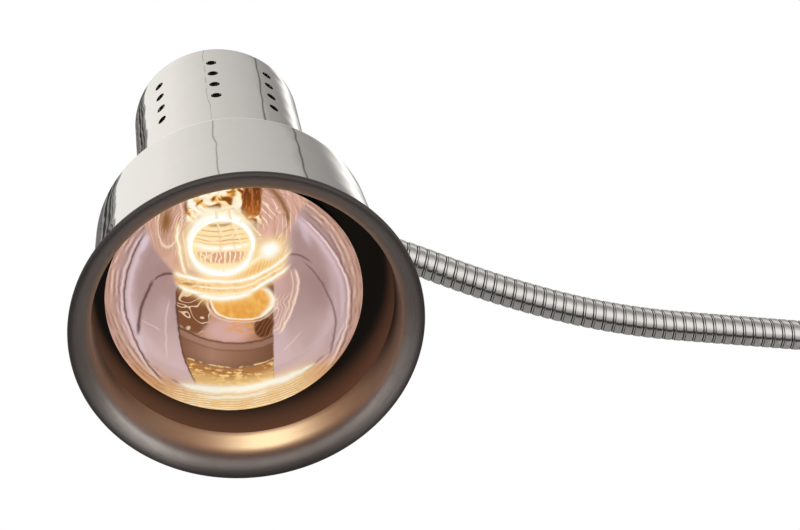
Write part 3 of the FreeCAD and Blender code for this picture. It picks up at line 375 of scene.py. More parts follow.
def glowing_wall(shade):
    """The silvered wall seen through the clear front, alight with images of the hot wire, all
    painted as a glow.

    It is laid out across and down in one fixed view, from where the camera stands at rest, so it
    keeps its place on the wall whatever the view. Widths and places are in that view's units.
    """
    across, down = shade.sighted()

    def cloud(scale, detail=2, squash=1, offset=0, distort=0):
        """Soft noise; squash under one draws it out across."""
        where = shade.vector(across * squash, down, offset)
        return shade.noise(where, scale, detail, 0.55, distort)

    x = across + (cloud(0.035) - 0.5) * 5 + (cloud(0.17, offset=31) - 0.5) * 1.8
    y = down + (cloud(0.04, offset=77) - 0.5) * 4 + (cloud(0.2, offset=53) - 0.5) * 1.4
    slow = cloud(0.02, 1, offset=9)
    eddy = cloud(0.055, 0, offset=21, distort=0.8)
    grain = cloud(0.3, 3, 0.45, 5)
    marble = cloud(0.11, 1.2, 0.9, 15, 0.8)
    colour = tint(172, 141, 138)

    def lay(factor, *shown, blend="MIX"):
        """Paint a colour, given in 0 to 255 or as a ramp, over what is there."""
        nonlocal colour
        colour = shade.mix(factor, colour, tint(*shown) if len(shown) == 3 else shown[0], blend)

    def strokes(curve, reach, *each):
        """Lines beside a curve, each with its offset, width, strength and colour."""
        for offset, width, strength, *shown in each:
            lay((curve - offset).bell(width) * reach * strength, *shown)

    def brown(value, *stops):
        """A ramp between colours given in 0 to 255."""
        return shade.ramp(value, *((position, tint(*shown)) for position, *shown in stops))

    def bent(along, middle, base, before, after=None):
        """A curve through base at middle, with one bend, or one on either side."""
        after = before if after is None else after
        offset = along - middle
        left, right = offset.do("MINIMUM", 0).square(), offset.do("MAXIMUM", 0).square()
        return left * before + right * after + base

    def oval(middle_x, middle_y, half_x, half_y, turn=0):
        """Distance from an oval's middle: one on its outline. turn is in degrees."""
        cosine, sine = cos(radians(turn)), sin(radians(turn))
        dx, dy = x - middle_x, y - middle_y
        first = (dx * cosine + dy * sine) / half_x
        second = (dy * cosine - dx * sine) / half_y
        return (first.square() + second.square()).do("SQRT")

    def rows(value, low, high):
        """Stripes across a value: nought under low of the wave, one over high."""
        return (value.do("SINE") * 0.5 + 0.5).step(low, high)

    rim = oval(233, 292, 130, 118)
    sides = y.step(376, 340)

    # Mauve panels, paler towards the bottom and in slow patches, with a lavender sheen.
    lay(down.step(285, 372), 209, 179, 176)
    lay(slow.step(0.5, 0.72) * 0.4, 216, 188, 192)
    lay(slow.step(0.46, 0.28) * 0.3, 148, 115, 112)
    lay((rim - 0.79).bell(0.045) * sides * 0.4, 222, 196, 200)
    # Round the edge: peach, with fine lines that follow it.
    lay(rim.step(0.85, 0.94) * 0.85, 198, 156, 138)
    lay(rim.step(0.76, 0.98) * y.step(335, 390), 214, 158, 110)
    strokes(rim, eddy.step(0.3, 0.6), (0.875, 0.008, 0.7, 142, 104, 96),
            (0.895, 0.008, 0.7, 230, 200, 192), (0.915, 0.006, 0.7, 146, 106, 92),
            (0.935, 0.008, 0.7, 236, 204, 184), (0.955, 0.006, 0.6, 132, 92, 76),
            (0.985, 0.009, 0.7, 150, 108, 92))
    # The two panels' outlines, each a dark line between paler ones.
    strokes(x - bent(y, 296, 124.5, 0.0052), y.window(236, 378, 5),
            (4.5, 2.8, sides * 0.65, 226, 202, 207), (-2.8, 1.2, 0.8, 238, 210, 206),
            (0, 0.9, 0.85, 90, 60, 58))
    strokes(bent(y, 302, 348.5, -0.0066, -0.0052) - x, y.window(220, 366, 5),
            (5, 3.2, sides * 0.6, 224, 198, 205), (-0.5, 1.1, 0.85, 250, 222, 218),
            (-3.4, 0.8, 0.6, 120, 84, 76))
    lay(oval(145, 243, 4, 13, 24).step(1.2, 0.2) * 0.6, 224, 204, 214)
    lay(oval(305, 232, 5, 17, -22).step(1.2, 0.2) * 0.5, 222, 200, 212)
    # Contours inside them, dark and then pale; each is two lines that meet.
    for line, branch, strength, *shown in (
            ((x - bent(y, 335, 137.5, 0.0052)).bell(1.9) * y.window(281, 334, 4),
             (y - bent(x, 169, 273.4, 0.03, 0)).bell(1.4) * x.window(155, 175, 2.5)
             * y.step(285, 281), 0.9, 92, 58, 52),
            ((x - bent(y, 324, 335.5, -0.0078)).bell(1.2) * y.window(262, 353, 5),
             (y - bent(x, 294, 254.5, 0.01, 0.022)).bell(1.3) * x.window(289, 311, 3),
             0.75, 116, 82, 76),
            ((x - bent(y, 328, 166, 0.004, 0.001)).bell(0.9) * y.window(302, 356, 5),
             (y - (x - 141) * 0.55 - 320).bell(0.8) * x.window(142, 160, 3), 0.6, 234, 202, 192)):
        lay(line.do("MAXIMUM", branch) * strength, *shown)
    line = (y + (x - 300) * 1.1 - 333).bell(0.9) * x.window(284, 300, 3)
    lay(line * 0.55, 240, 208, 196)

    # Painted reflections beside the lamp's neck: peach folds, drawn in fine lines that run together
    # below.
    fold = x - bent(y, 215.5, 143.8, 0.0095)
    region = fold.step(-2, 4) * x.step(204, 194) * y.window(187, 272, 3)
    lay(region, 206, 162, 142)
    combed = fold / ((274 - y) * 0.33 + 1).do("MAXIMUM", 1)
    patchy = eddy.step(0.35, 0.65)
    lay(region * rows(combed * 36 + eddy * 9, 0.7, 1) * (patchy * 0.6 + 0.1), 250, 224, 200)
    lay(region * rows(combed * 19 - eddy * 8, 0.25, 0) * 0.35, 164, 112, 80)
    lay(oval(166, 221, 8, 20, 8).step(1.2, 0.1) * 0.95, 140, 92, 42)
    lay((oval(170, 222, 12, 25, 8) - 1).bell(0.06) * region * 0.7, 252, 226, 196)
    lay(oval(188, 207, 4.5, 9).step(1.2, 0.5), 128, 78, 34)
    edge = bent(y, 248, 290.5, 0.0085, 0.002)
    region = (edge - x).step(-2, 7) * x.step(254, 262) * y.window(187, 254, 4)
    ripple = oval(256, 226, 35, 45)
    lay(region, 214, 168, 150)
    lay(region * rows(ripple * 46 + eddy * 9, 0.7, 1) * (patchy * 0.6 + 0.25), 251, 225, 202)
    lay(region * rows(ripple * 27 - eddy * 10, 0.22, 0) * 0.35, 168, 112, 82)
    lay(oval(267, 236, 6, 13, 20).step(1.15, 0.6) * 0.6, 224, 172, 162)
    lay((ripple - 0.92).bell(0.07) * y.window(186, 222, 6) * region * 0.9, 134, 88, 40)

    # The painted image of the neck above the hot wire: white and amber glass and a ribbed brown
    # patch on the right.
    top = x.window(187, 262, 2) * y.window(180, 222, 4)
    tone = marble * 0.9 + eddy * 0.25 - (x - 215) * 0.0016 - 0.05
    lay(top, brown(tone, (0.34, 128, 74, 26), (0.43, 206, 140, 66), (0.5, 250, 216, 156),
                   (0.6, 255, 250, 230)))
    patch = x.window(242, 262, 1.5) * y.window(186, 217, 2.5) \
        * oval(251, 199, 14, 20).step(1.05, 0.95)
    lay(patch, brown((y - 186) / 32, (0, 96, 54, 32), (0.55, 134, 72, 30), (1, 176, 100, 40)))
    lay(patch * cloud(0.09, 2, 4, 40).step(0.48, 0.66) * 0.5, 214, 132, 72)
    lay((oval(210, 198, 20, 17) - 1).bell(0.13) * x.step(208, 200), 255, 252, 238)
    lay(oval(218, 213, 22, 7).step(1.3, 0.4), 255, 252, 232)
    lay(oval(236.5, 204, 5, 8).step(1.2, 0.6) * 0.9, 255, 246, 220)

    # Inside the ring of hot wire: cream above, a pink band with pale threads below.
    ring = oval(221, 244.5, 32, 28.5)
    lay(ring.step(1.12, 0.95), 252, 228, 180)
    for height, bend, width, strength in ((231.5, -0.006, 0.7, 0.75), (236.5, -0.005, 0.9, 0.55),
                                          (241, -0.004, 0.7, 0.8), (244.5, -0.004, 0.6, 0.5)):
        strokes(y - bent(x, 220, height, bend), ring.step(0.95, 0.8),
                (0, width, strength, 190, 138, 66))
    lay((y - bent(x, 219, 225, -0.008)).bell(1.8) * x.window(208, 232, 4)
        * 0.9, 146, 98, 40)
    band = y.window(251.5, 263, 1.6) * ring.step(0.92, 0.84)
    lay(band * 0.95, 206, 154, 128)
    lay(band * rows(x * 1.3 + marble * 9, 0.72, 0.97), 255, 238, 204)
    lay(band * rows(eddy * 34, 0.7, 1) * x.step(216, 208) * 0.7, 250, 220, 180)
    lay((y - bent(x, 220, 248.5, -0.005)).bell(2) * ring.step(1, 0.85), 255, 253, 240)

    # The neck's image below, a brown cylinder.
    side = x - bent(y, 305, 176.5, 0.002, 0.0031)
    body = side.step(-0.8, 1.2) * x.step(275, 272.5) * y.window(284, 386, 3)
    lay(body, brown((x - 176) / 100, (0, 118, 76, 56), (0.12, 150, 104, 80), (0.3, 196, 148, 126),
                    (0.62, 206, 158, 138), (0.85, 166, 116, 88), (1, 112, 70, 48)))
    loops = oval(192, 308, 18, 25, -12).step(1.12, 0.9) * body
    lay(loops, 126, 80, 54)
    lay(loops * rows(eddy * 24 + y * 0.12, 0.84, 0.99) * 0.75, 250, 220, 188)
    lay(oval(228, 331, 24, 12).step(1.25, 0.5) * 0.85, 214, 172, 166)
    amber = oval(243, 326, 20, 15).step(1.2, 0.4) * body
    lay(amber * grain.step(0.42, 0.6) * 0.85, 226, 156, 84)
    dark = oval(264, 327, 9.5, 11, 20).step(1.1, 0.8) * body
    lay(dark, 98, 56, 34)
    lay(dark * rows(x * 1.4 + y * 0.8 + eddy * 8, 0.75, 1) * 0.45, 178, 118, 80)
    arc_line = y - bent(x, 238, 343.5, -0.0047, -0.0062)
    lay(arc_line.step(-0.5, 1.5) * body,
        brown((x - 180) / 92, (0, 128, 88, 66), (0.35, 168, 126, 104), (0.6, 150, 108, 84),
              (1, 120, 80, 58)))
    lay(arc_line.window(-1, 7, 2.5) * body * 0.45, 178, 136, 116)
    strokes(arc_line, body, (0, 1.1, 0.85, 96, 60, 46), (7.5, 0.8, 0.5, 108, 70, 54))
    foot = y - bent(x, 231, 367.5, -0.005)
    lay(foot.step(-9, 1) * body * 0.5, 122, 82, 60)
    lay(foot.step(0, 3) * body, 172, 116, 66)
    lay(foot.step(1, 5) * body * grain.step(0.5, 0.62), 252, 212, 132)
    lay(foot.step(6, 14) * body * 0.7, 236, 188, 122)
    lay(foot.bell(0.8) * body * marble.step(0.35, 0.5) * 0.9, 246, 208, 150)
    lay(side.bell(1) * y.window(290, 384, 4) * 0.8, 78, 46, 32)

    # Painted reflections: cream folds to the right of the streaks, with crazed pink glass inside.
    fold = bent(y, 281, 297.5, -0.02, -0.0066) - x
    reach = y.window(270, 332, 4)
    inside = fold.step(0, 2) * x.step(272, 277) * reach
    lay(inside * 0.4, 222, 176, 160)
    lay(inside * rows(fold * 1.3 + eddy * 22, 0.8, 1) * y.step(290, 300) * 0.6, 250, 218, 196)
    strokes(fold, reach, (0, 1.3, 0.9, 253, 224, 200), (5, 0.8, 0.6, 250, 214, 186))

    # A golden oval under the bright streaks.
    gold = oval(242, 301.5, 31, 18)
    lay((gold - 1.17).bell(0.035) * y.step(296, 306) * 0.6, 250, 214, 180)
    lay(gold.step(1.03, 0.97), 228, 158, 72)
    lay(gold.step(1, 0.9) * cloud(0.12, 1, 1.2, 3).step(0.3, 0.75) * 0.6, 250, 202, 112)
    lay((gold - 1.02).bell(0.045) * y.step(292, 300), 255, 240, 206)
    lay((gold - 1).bell(0.1) * x.step(256, 268) * 0.9, 255, 246, 222)

    # Streaks of light: their ribbed band, halo and white-hot cores.
    upper = y - bent(x, 222, 272.5, -0.01, -0.0106)
    middle = y - bent(x, 228, 282, -0.0032, -0.0078)
    lower = y - bent(x, 222, 295.5, -0.0052, -0.0066)
    band = upper.step(-1, 2) * middle.step(1, -2) * x.window(203, 282, 5)
    lay(band, 238, 188, 118)
    lay(band * rows(x * 2 + y * 0.6 + marble * 3, 0.5, 0.95) * 0.7, 200, 138, 76)
    between = middle.step(-2, 1) * lower.step(2, -2) * x.window(176, 284, 5)
    lay(between, 242, 202, 150)
    lay(between * grain.step(0.5, 0.6) * 0.75, 196, 138, 84)
    lay(oval(188, 283.5, 7, 1.6, 4).step(1.4, 0.5) * 0.9, 120, 76, 44)
    lay(((middle + lower) * 0.5).bell(1.1) * x.window(196, 284, 8) * 0.95, 255, 252, 232)
    lay(oval(222, 260, 66, 56).step(1.25, 0.2) * 0.5, 112, 66, 28, blend="ADD")
    for curve, start, end, width in ((upper, 200, 272, 2.3), (middle, 176, 288, 1.9),
                                     (lower, 180, 287, 1.9), (lower - 3, 198, 250, 2.3)):
        span = x.window(start, end, 6)
        lay(curve.bell(width * 2.6) * span * 0.7, 255, 216, 138)
        lay(curve.bell(width) * span, 255, 255, 246)
    lay(oval(270, 250, 24, 17, -25).step(1.2, 0.1) * 0.85, 255, 230, 170)
    lay(oval(270, 250, 10, 7.5, -25).step(1.5, 0.3), 255, 255, 250)
    lay((ring - 1).bell(0.24) * 0.75, 255, 226, 158)
    lay((ring - 1).bell(0.17) * (y - 244.5).do("ABSOLUTE").step(12, 26), 255, 252, 232)
    lay((ring - 1).bell(0.075), 255, 255, 250)
    streak = x - bent(y, 232, 177.5, 0.003, 0.0052)
    lay(streak.bell(3) * y.window(224, 273, 5) * 0.6, 255, 220, 160)
    lay(streak.bell(1.3) * y.window(226, 273, 4), 255, 248, 226)
    lay((streak - 6).bell(0.9) * y.window(232, 268, 4) * 0.8, 252, 230, 196)

    # The bright crescent low on the wall, and golden lines under it.
    low = y - bent(x, 224, 389.5, -0.003, -0.0031)
    lay(low.step(-1, 5) * x.window(168, 326, 24), 228, 176, 120)
    lay(low.step(5, 10) * x.window(190, 290, 30) * 0.6, 250, 206, 142)
    lay(low.step(2, 6) * rows(low * 2.6 + eddy * 6 + x * 0.03, 0.35, 0.9)
        * x.window(176, 306, 24) * (marble.step(0.35, 0.6) * 0.6 + 0.35), 255, 242, 204)
    lay(low.bell(8) * x.window(190, 304, 18) * 0.6, 255, 214, 138)
    lay(low.bell(3.6) * x.window(188, 300, 14), 255, 255, 244)
    lay(low.bell(1.6) * x.window(182, 313, 6) * 0.95, 255, 250, 226)
    lay((low - 8).bell(1.6) * x.window(204, 268, 14) * 0.9, 255, 250, 226)
    return shade.node("ShaderNodeEmission", in_0=colour, in_1=1)


def bulb_glow():
    shade = Shade("bulb_glow")
    return shade.show(glowing_wall(shade))


def bulb_face():
    """The clear front; towards its edge the silvered wall's glow fills the glass."""
    shade = Shade("bulb_face")
    wave = shade.noise(shade.place(BULB), 0.04, 2)
    fresnel = Number(shade, shade.node("ShaderNodeFresnel", in_0=1.3).outputs[0])
    gloss = shade.node("ShaderNodeBsdfGlossy", in_Roughness=0.03,
                       in_Normal=shade.bump(wave, 0.2, 0.002))
    pane = shade.either(fresnel * 0.12, shade.node("ShaderNodeBsdfTransparent"), gloss)
    height = shade.polar(BULB)[2]
    return shade.show(shade.either(height.step(31, 36), pane, glowing_wall(shade)))


def glow(name, colour, strength, solid=1):
    """Hot wire."""
    shade = Shade(name)
    red, green, blue = colour
    hot = shade.noise(shade.place(BULB), 0.6, 2)
    paint = shade.mix(hot, colour, (min(red * 1.05, 1), green * 0.9, blue * 0.8))
    light = shade.node("ShaderNodeEmission", in_0=paint, in_Strength=strength)
    if solid < 1:
        light = shade.either(solid, shade.node("ShaderNodeBsdfTransparent"), light)
    return shade.show(light)


def pale_floor():
    """A plain floor that runs out into the white of the studio far from the lamp."""
    shade = Shade("pale_floor")
    cloud = shade.noise(shade.place(), 3, 2)
    paint = shade.node("ShaderNodeBsdfPrincipled", in_Roughness=0.6,
                       in_Base_Color=shade.mix(cloud, (0.8, 0.8, 0.8), (0.84, 0.84, 0.84)))
    far = shade.polar(Matrix.Identity(4))[0].step(0.9, 2.4)
    seen = shade.node("ShaderNodeLightPath").outputs["Is Camera Ray"]
    white = shade.node("ShaderNodeEmission", in_1=1)
    return shade.show(shade.either(far * seen, paint, white))


def clear_glass():
    """The stem inside the neck: clear glass that carries a little of the wire's light."""
    shade = Shade("clear_glass")
    wave = shade.noise(shade.place(BULB), 0.4, 2)
    edge = Number(shade, shade.node("ShaderNodeLayerWeight", in_Blend=0.5).outputs["Facing"])
    lit = shade.node("ShaderNodeEmission", in_1=1,
                     in_0=shade.mix(wave, tint(255, 236, 190), tint(214, 150, 80)))
    return shade.show(shade.either(edge.step(0.5, 1) * 0.5,
                                   shade.node("ShaderNodeBsdfTransparent"), lit))


MATERIALS = {
    "polished": polished_shade(), "satin": satin_brim(), "inside": dark_inside(),
    "strip": strip_metal(), "groove": strip_groove(), "mirror": bulb_mirror(),
    "glow": bulb_glow(), "face": bulb_face(), "clear_glass": clear_glass(), "floor": pale_floor(),
    "wire": glow("hot_wire", (1, 0.9, 0.66), 2.5),
    "brass": satin_metal("brass", (0.86, 0.68, 0.36), (0.62, 0.45, 0.2), 0.25),
    "solder": satin_metal("solder", (0.72, 0.72, 0.73), (0.45, 0.45, 0.46), 0.3),
    "black_glass": plain("black_glass", (0.02, 0.02, 0.022), (0.008, 0.008, 0.009), 0.08, coat=0.5),
    "filament": glow("warm_wire", (1, 0.86, 0.58), 1, 0.45),
    "porcelain": plain("porcelain", (0.88, 0.87, 0.82), (0.8, 0.78, 0.73), 0.16, coat=0.6),
    "plated_steel": satin_metal("plated_steel", (0.7, 0.7, 0.68), (0.46, 0.46, 0.45), 0.3),
    "bright_steel": satin_metal("bright_steel", (0.8, 0.79, 0.77), (0.62, 0.61, 0.6), 0.14, 600),
    "cable": plain("cable_sheath", (0.72, 0.71, 0.68), (0.6, 0.59, 0.56), 0.5),
    "base_metal": satin_metal("base_metal", (0.74, 0.73, 0.71), (0.56, 0.55, 0.53), 0.26, 1400),
    "iron": plain("cast_iron", (0.075, 0.073, 0.07), (0.03, 0.03, 0.03), 0.6, 700, 0.8),
    "foot_rubber": plain("foot_rubber", (0.035, 0.034, 0.033), (0.018, 0.018, 0.018), 0.7, 900),
    "black_plastic": plain("black_plastic", (0.03, 0.03, 0.03), (0.017, 0.017, 0.017), 0.45, 1500),
    "rocker_plastic": plain("rocker_plastic", (0.022, 0.022, 0.022), (0.012, 0.012, 0.012), 0.2,
                            1500, 0.05, 0.3),
}
# Slots whose look goes by another name; every other slot has a look of its own name.
SLOT_LOOK = {"shade_metal": "polished", "bulb_glass": "face", "arm_steel": "strip"}
for entry in frame["record"]["subparts"]:
    solid = frame["nodes"][entry["node"]]
    slot = entry["material_slot"]
    solid.data.materials.clear()
    solid.data.materials.append(MATERIALS[SLOT_LOOK.get(slot, slot)])


# Mesh helpers --------------------
def made(name, vertices, faces, looks, indices=None, sharp=35):
    """A smooth piece, with edges kept sharp over an angle and a look for each face."""
    mesh = bpy.data.meshes.new(name)
    mesh.from_pydata([tuple(point) for point in vertices], [], faces)
    for look in looks:
        mesh.materials.append(MATERIALS[look])
    if indices:
        mesh.polygons.foreach_set("material_index", indices)
    mesh.polygons.foreach_set("use_smooth", [True] * len(mesh.polygons))
    mesh.update()
    mesh.set_sharp_from_angle(angle=radians(sharp))
    return linked(name, mesh)


def arc(centre, radius, start, end, steps):
    """Points on an arc in the (radius, height) plane."""
    points = []
    for step in range(steps + 1):
        angle = radians(start + (end - start) * step / steps)
        points.append((centre[0] + radius * cos(angle), centre[1] + radius * sin(angle)))
    return points


def spot_at(place, radius, angle, height):
    return place @ Vector((radius * cos(angle), radius * sin(angle), height))


def quads(rows, width, wrap=True, closed=False):
    """Faces between rows of points, each of one width; wrap joins a row's own ends."""
    faces = []
    for row in range(rows if closed else rows - 1):
        here, there = row * width, (row + 1) % rows * width
        for step in range(width if wrap else width - 1):
            after = (step + 1) % width
            faces.append((here + step, here + after, there + after, there + step))
    return faces


def lathe(name, place, outline, looks, marks=None, segments=160, closed=False, sharp=35):
    """A surface of revolution. marks gives the look of each stretch of the outline."""
    vertices = [spot_at(place, radius, 2 * pi * step / segments, height)
                for radius, height in outline for step in range(segments)]
    faces = quads(len(outline), segments, closed=closed)
    indices = marks and [marks[index // segments] for index in range(len(faces))]
    return made(name, vertices, faces, looks, indices, sharp)


# Shade --------------------
# Its section, in millimetres out from the head's axis and up from the brim.
SHADE_WALL = 1
BRIM_MIDDLE, BRIM_CURVE, BEAD = (81.2, 8.6), 7.6, 1.8
SHOULDER_MIDDLE, SHOULDER_CURVE = (68.3, 88.3), 1.5
SHOULDER_TOP = SHOULDER_MIDDLE[1] + SHOULDER_CURVE
OPENING, UNDER_CANOPY, SHOULDER_RING = 36, 52, 60
CANOPY_RADIUS, CANOPY_CORNER, CANOPY_TOP = 47, 2.5, 235.8
VENT_RADIUS, VENT_COLUMNS, VENT_ROWS, VENT_PITCH = 2.9, 9, 4, 15
TOP_VENT, VENT_TURN = 214.2, radians(7.2)
# The canopy's mesh: half a vent's square cell, the steps along a cell and the gap between two,
# and the greatest step in height. What is nearer than NEAR counts as one height.
CELL_HALF, CELL_STEPS, GAP_STEPS, LEVEL_STEP, NEAR = 4.6, 8, 6, 6, 0.001


def shade_skirt():
    """Anticlockwise outline: up the outside, over the shoulder, down the inside, round the bead."""
    out, foot = BRIM_MIDDLE
    rise = SHOULDER_MIDDLE[1] - foot
    taper = out - BRIM_CURVE - SHOULDER_MIDDLE[0] - SHOULDER_CURVE
    under = SHOULDER_TOP - SHADE_WALL

    def side(height, inset=0):
        return out - BRIM_CURVE - inset - taper * (height - foot) / rise, height

    outside, satin, inside = 0, 1, 2
    stretches = (
        (arc(BRIM_MIDDLE, BRIM_CURVE, 265, 180, 14), outside),
        ([side(foot + rise * step / 8) for step in range(1, 8)], outside),
        (arc(SHOULDER_MIDDLE, SHOULDER_CURVE, 0, 90, 8), outside),
        ([(SHOULDER_RING, SHOULDER_TOP), (UNDER_CANOPY, SHOULDER_TOP)], outside),
        ([(OPENING, SHOULDER_TOP), (OPENING, under), (UNDER_CANOPY, under)], inside),
        (arc(SHOULDER_MIDDLE, SHOULDER_CURVE - SHADE_WALL, 90, 0, 6), inside),
        ([side(height, SHADE_WALL) for height in (80, 70, 60, 50, 42, 35, 29)], inside),
        ([side(height, SHADE_WALL) for height in (24, 20, 16, 12)], satin),
        (arc(BRIM_MIDDLE, BRIM_CURVE + SHADE_WALL, 180, 268, 16), satin),
        (arc((out, BEAD), BEAD, -88, 120, 14), satin))
    outline, marks = zip(*((point, look) for points, look in stretches for point in points))
    return lathe("shade_skirt_skin", HEAD, outline, ["polished", "satin", "inside"], marks,
                 segments=256, closed=True)


def in_turn(items):
    """Each item with the next one round."""
    return list(zip(items, items[1:] + items[:1]))


def vent_canopy():
    """The perforated cup: its wall is unrolled, cut with the vents, and rolled up again."""
    radius, inner, brow = CANOPY_RADIUS, CANOPY_RADIUS - SHADE_WALL, CANOPY_TOP - CANOPY_CORNER
    pitch, half_angle = 2 * pi / VENT_COLUMNS, CELL_HALF / radius
    vertices, faces, indices, seen = [], [], [], {}

    def vertex(angle, height, wall):
        """The number of the vertex there; one is shared by all the faces round it."""
        key = (round(angle % (2 * pi), 6) % round(2 * pi, 6), round(height, 4), wall)
        if key not in seen:
            seen[key] = len(vertices)
            vertices.append(spot_at(HEAD, wall, angle, height))
        return seen[key]

    def face(ids, look, flip=False):
        faces.append(ids[::-1] if flip else ids)
        indices.append(look)

    def spread(start, width, steps):
        return [start + width * step / steps for step in range(steps + 1)]

    def vent(middle, centre):
        """Points round a vent, in line with those on its cell's border."""
        return [(middle + VENT_RADIUS * cos(angle) / radius, centre + VENT_RADIUS * sin(angle))
                for angle in (atan2(y, x) for x, y in border)]

    shares = spread(-1, 2, CELL_STEPS)[:-1]
    border = [(share, -1) for share in shares] + [(1, share) for share in shares] + \
        [(-share, 1) for share in shares] + [(-1, -share) for share in shares]
    centres = [TOP_VENT - VENT_PITCH * row for row in range(VENT_ROWS)]
    cells = [(round(centre - CELL_HALF, 4), round(centre + CELL_HALF, 4)) for centre in centres]
    levels = set()
    for low, high in zip([SHOULDER_TOP] + [high for _, high in cells[::-1]],
                         [low for low, _ in cells[::-1]] + [brow]):
        steps = max(1, round((high - low) / LEVEL_STEP))
        levels.update(round(level, 4) for level in spread(low, high - low, steps))
    levels = sorted(levels)
    angles = []
    for column in range(VENT_COLUMNS):
        middle = VENT_TURN + pitch * column
        cell = spread(middle - half_angle, 2 * half_angle, CELL_STEPS)
        gap = spread(middle + half_angle, pitch - 2 * half_angle, GAP_STEPS)
        angles += cell[:-1] + gap[:-1]
        for wall, look in ((radius, 0), (inner, 1)):
            for low, high in zip(levels, levels[1:]):
                cut = any(low >= start - NEAR and high <= end + NEAR for start, end in cells)
                for line in (gap,) if cut else (gap, cell):
                    for a, b in zip(line, line[1:]):
                        face([vertex(a, low, wall), vertex(b, low, wall), vertex(b, high, wall),
                              vertex(a, high, wall)], look, wall == inner)
            for centre in centres:
                outer = [(middle + x * half_angle, centre + y * CELL_HALF) for x, y in border]
                for (a, out_a), (b, out_b) in in_turn(list(zip(vent(middle, centre), outer))):
                    face([vertex(*spot, wall) for spot in (a, out_a, out_b, b)], look,
                         wall == inner)
        for centre in centres:
            for a, b in in_turn(vent(middle, centre)):
                face([vertex(*a, radius), vertex(*a, inner), vertex(*b, inner),
                      vertex(*b, radius)], 0, True)
    for wall, bend, look in ((radius, CANOPY_CORNER, 0), (inner, CANOPY_CORNER - SHADE_WALL, 1)):
        flat = radius - CANOPY_CORNER
        outline = arc((flat, brow), bend, 0, 90, 8)
        outline += [(flat * share, brow + bend) for share in (0.75, 0.5, 0.25, 0.02)]
        loops = [[vertex(angle, round(brow, 4), wall) for angle in angles]]
        for out, height in outline[1:]:
            loops.append([len(vertices) + index for index in range(len(angles))])
            vertices += [spot_at(HEAD, out, angle, height) for angle in angles]
        for low, high in zip(loops, loops[1:]):
            for (a, b), (c, d) in zip(in_turn(low), in_turn(high)):
                face([a, b, d, c], look, wall == inner)
        face(loops[-1], look, wall == inner)
    for a, b in in_turn(angles):
        face([vertex(a, SHOULDER_TOP, radius), vertex(a, SHOULDER_TOP, inner),
              vertex(b, SHOULDER_TOP, inner), vertex(b, SHOULDER_TOP, radius)], 0)
    return made("vent_canopy_skin", vertices, faces, ["polished", "inside"], indices)


skirt = shade_skirt()
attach(skirt, "head")
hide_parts("shade_skirt")
canopy = vent_canopy()
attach(canopy, "head")
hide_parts("vent_canopy")


# Gooseneck --------------------
# Arcs that meet end to end: body, length in millimetres, turn, and roll before it in degrees.
SEGMENTS = [
    ("base", 66, 0, 0), ("arm_riser", 60, 0, 0), ("arm_lower_bend", 72, 41.5, 180),
    ("arm_upper_bend", 72, 41.5, 0), ("arm_first_reach", 70, 4.6, 0),
    ("arm_second_reach", 70, 0, 0), ("arm_third_reach", 70, 9.7, 180),
    ("arm_fourth_reach", 70, 7.1, 0), ("head", 50, 15.7, -132.5),
]
NECKS = ["foot", "riser", "lower_bend", "upper_bend", "first_reach", "second_reach",
         "third_reach", "fourth_reach", "end"]
# Height of the arm's foot, how far it goes into its fittings, its strip's pitch and the number
# of COLUMNS that a turn of it has.
ARM_START, PLUG, PITCH, COLUMNS = 66, 12, 5.65, 40
# Spacing of the samples along the arm, half the length over which a joint bends, and how far
# short of the plug's end the strip stops.
SAMPLE, BEND_HALF, STOP_SHORT = 0.5, 26, 0.2
# (share of the pitch, radius, look): a wide crowned band, a thin line, a narrow bead, a groove.
# Look 1 is near black, painted shade in the hollows.
STRIP = [(0, 7.55, 1), (0.035, 7.6, 1), (0.06, 8.05, 0), (0.1, 8.17, 0), (0.2, 8.22, 0),
         (0.4, 8.25, 0), (0.6, 8.22, 0), (0.72, 8.16, 0), (0.755, 8.05, 1), (0.77, 7.78, 1),
         (0.8, 7.78, 1), (0.82, 7.96, 0), (0.88, 8.02, 0), (0.94, 7.96, 0), (0.965, 7.6, 1)]


def arm_frames():
    """Distance, frame, length and turn of each segment, and of the plug at the end."""
    place = Matrix.Translation(Vector((0, 0, ARM_START)))
    starts, done = [], 0
    for _, length, turn, roll in SEGMENTS:
        place = place @ Matrix.Rotation(radians(roll), 4, "Z")
        starts.append((done, place.copy(), length, radians(turn)))
        place = place @ along(length, length, radians(turn))
        done += length
    starts.append((done, place.copy(), PLUG, 0))
    return starts


def along(distance, length, turn):
    """The move along an arc of a length that turns through an angle."""
    if abs(turn) < 1e-9:
        return Matrix.Translation(Vector((0, 0, distance)))
    radius = length / turn
    swing = Matrix.Rotation(turn * distance / length, 4, "Y")
    hub = Matrix.Translation(Vector((radius, 0, 0)))
    return hub @ swing @ hub.inverted()


def arm_point(distance):
    """The arm's frame at a distance along it."""
    for start, place, length, turn in reversed(ARM):
        if distance >= start:
            return place @ along(distance - start, length, turn)
    start, place, length, turn = ARM[0]
    return place @ along(distance, length, turn)


def untwisted(samples):
    """Carry one reference direction along the arm so that the winding doesn't jump."""
    frames, side = [], Vector((1, 0, 0))
    for distance in samples:
        place = arm_point(distance)
        way = (place.to_3x3() @ Vector((0, 0, 1))).normalized()
        side = (side - way * side.dot(way)).normalized()
        frames.append((place.translation, side.copy(), way.cross(side)))
    return frames


ARM = arm_frames()
ARM_END = ARM[-1][0]


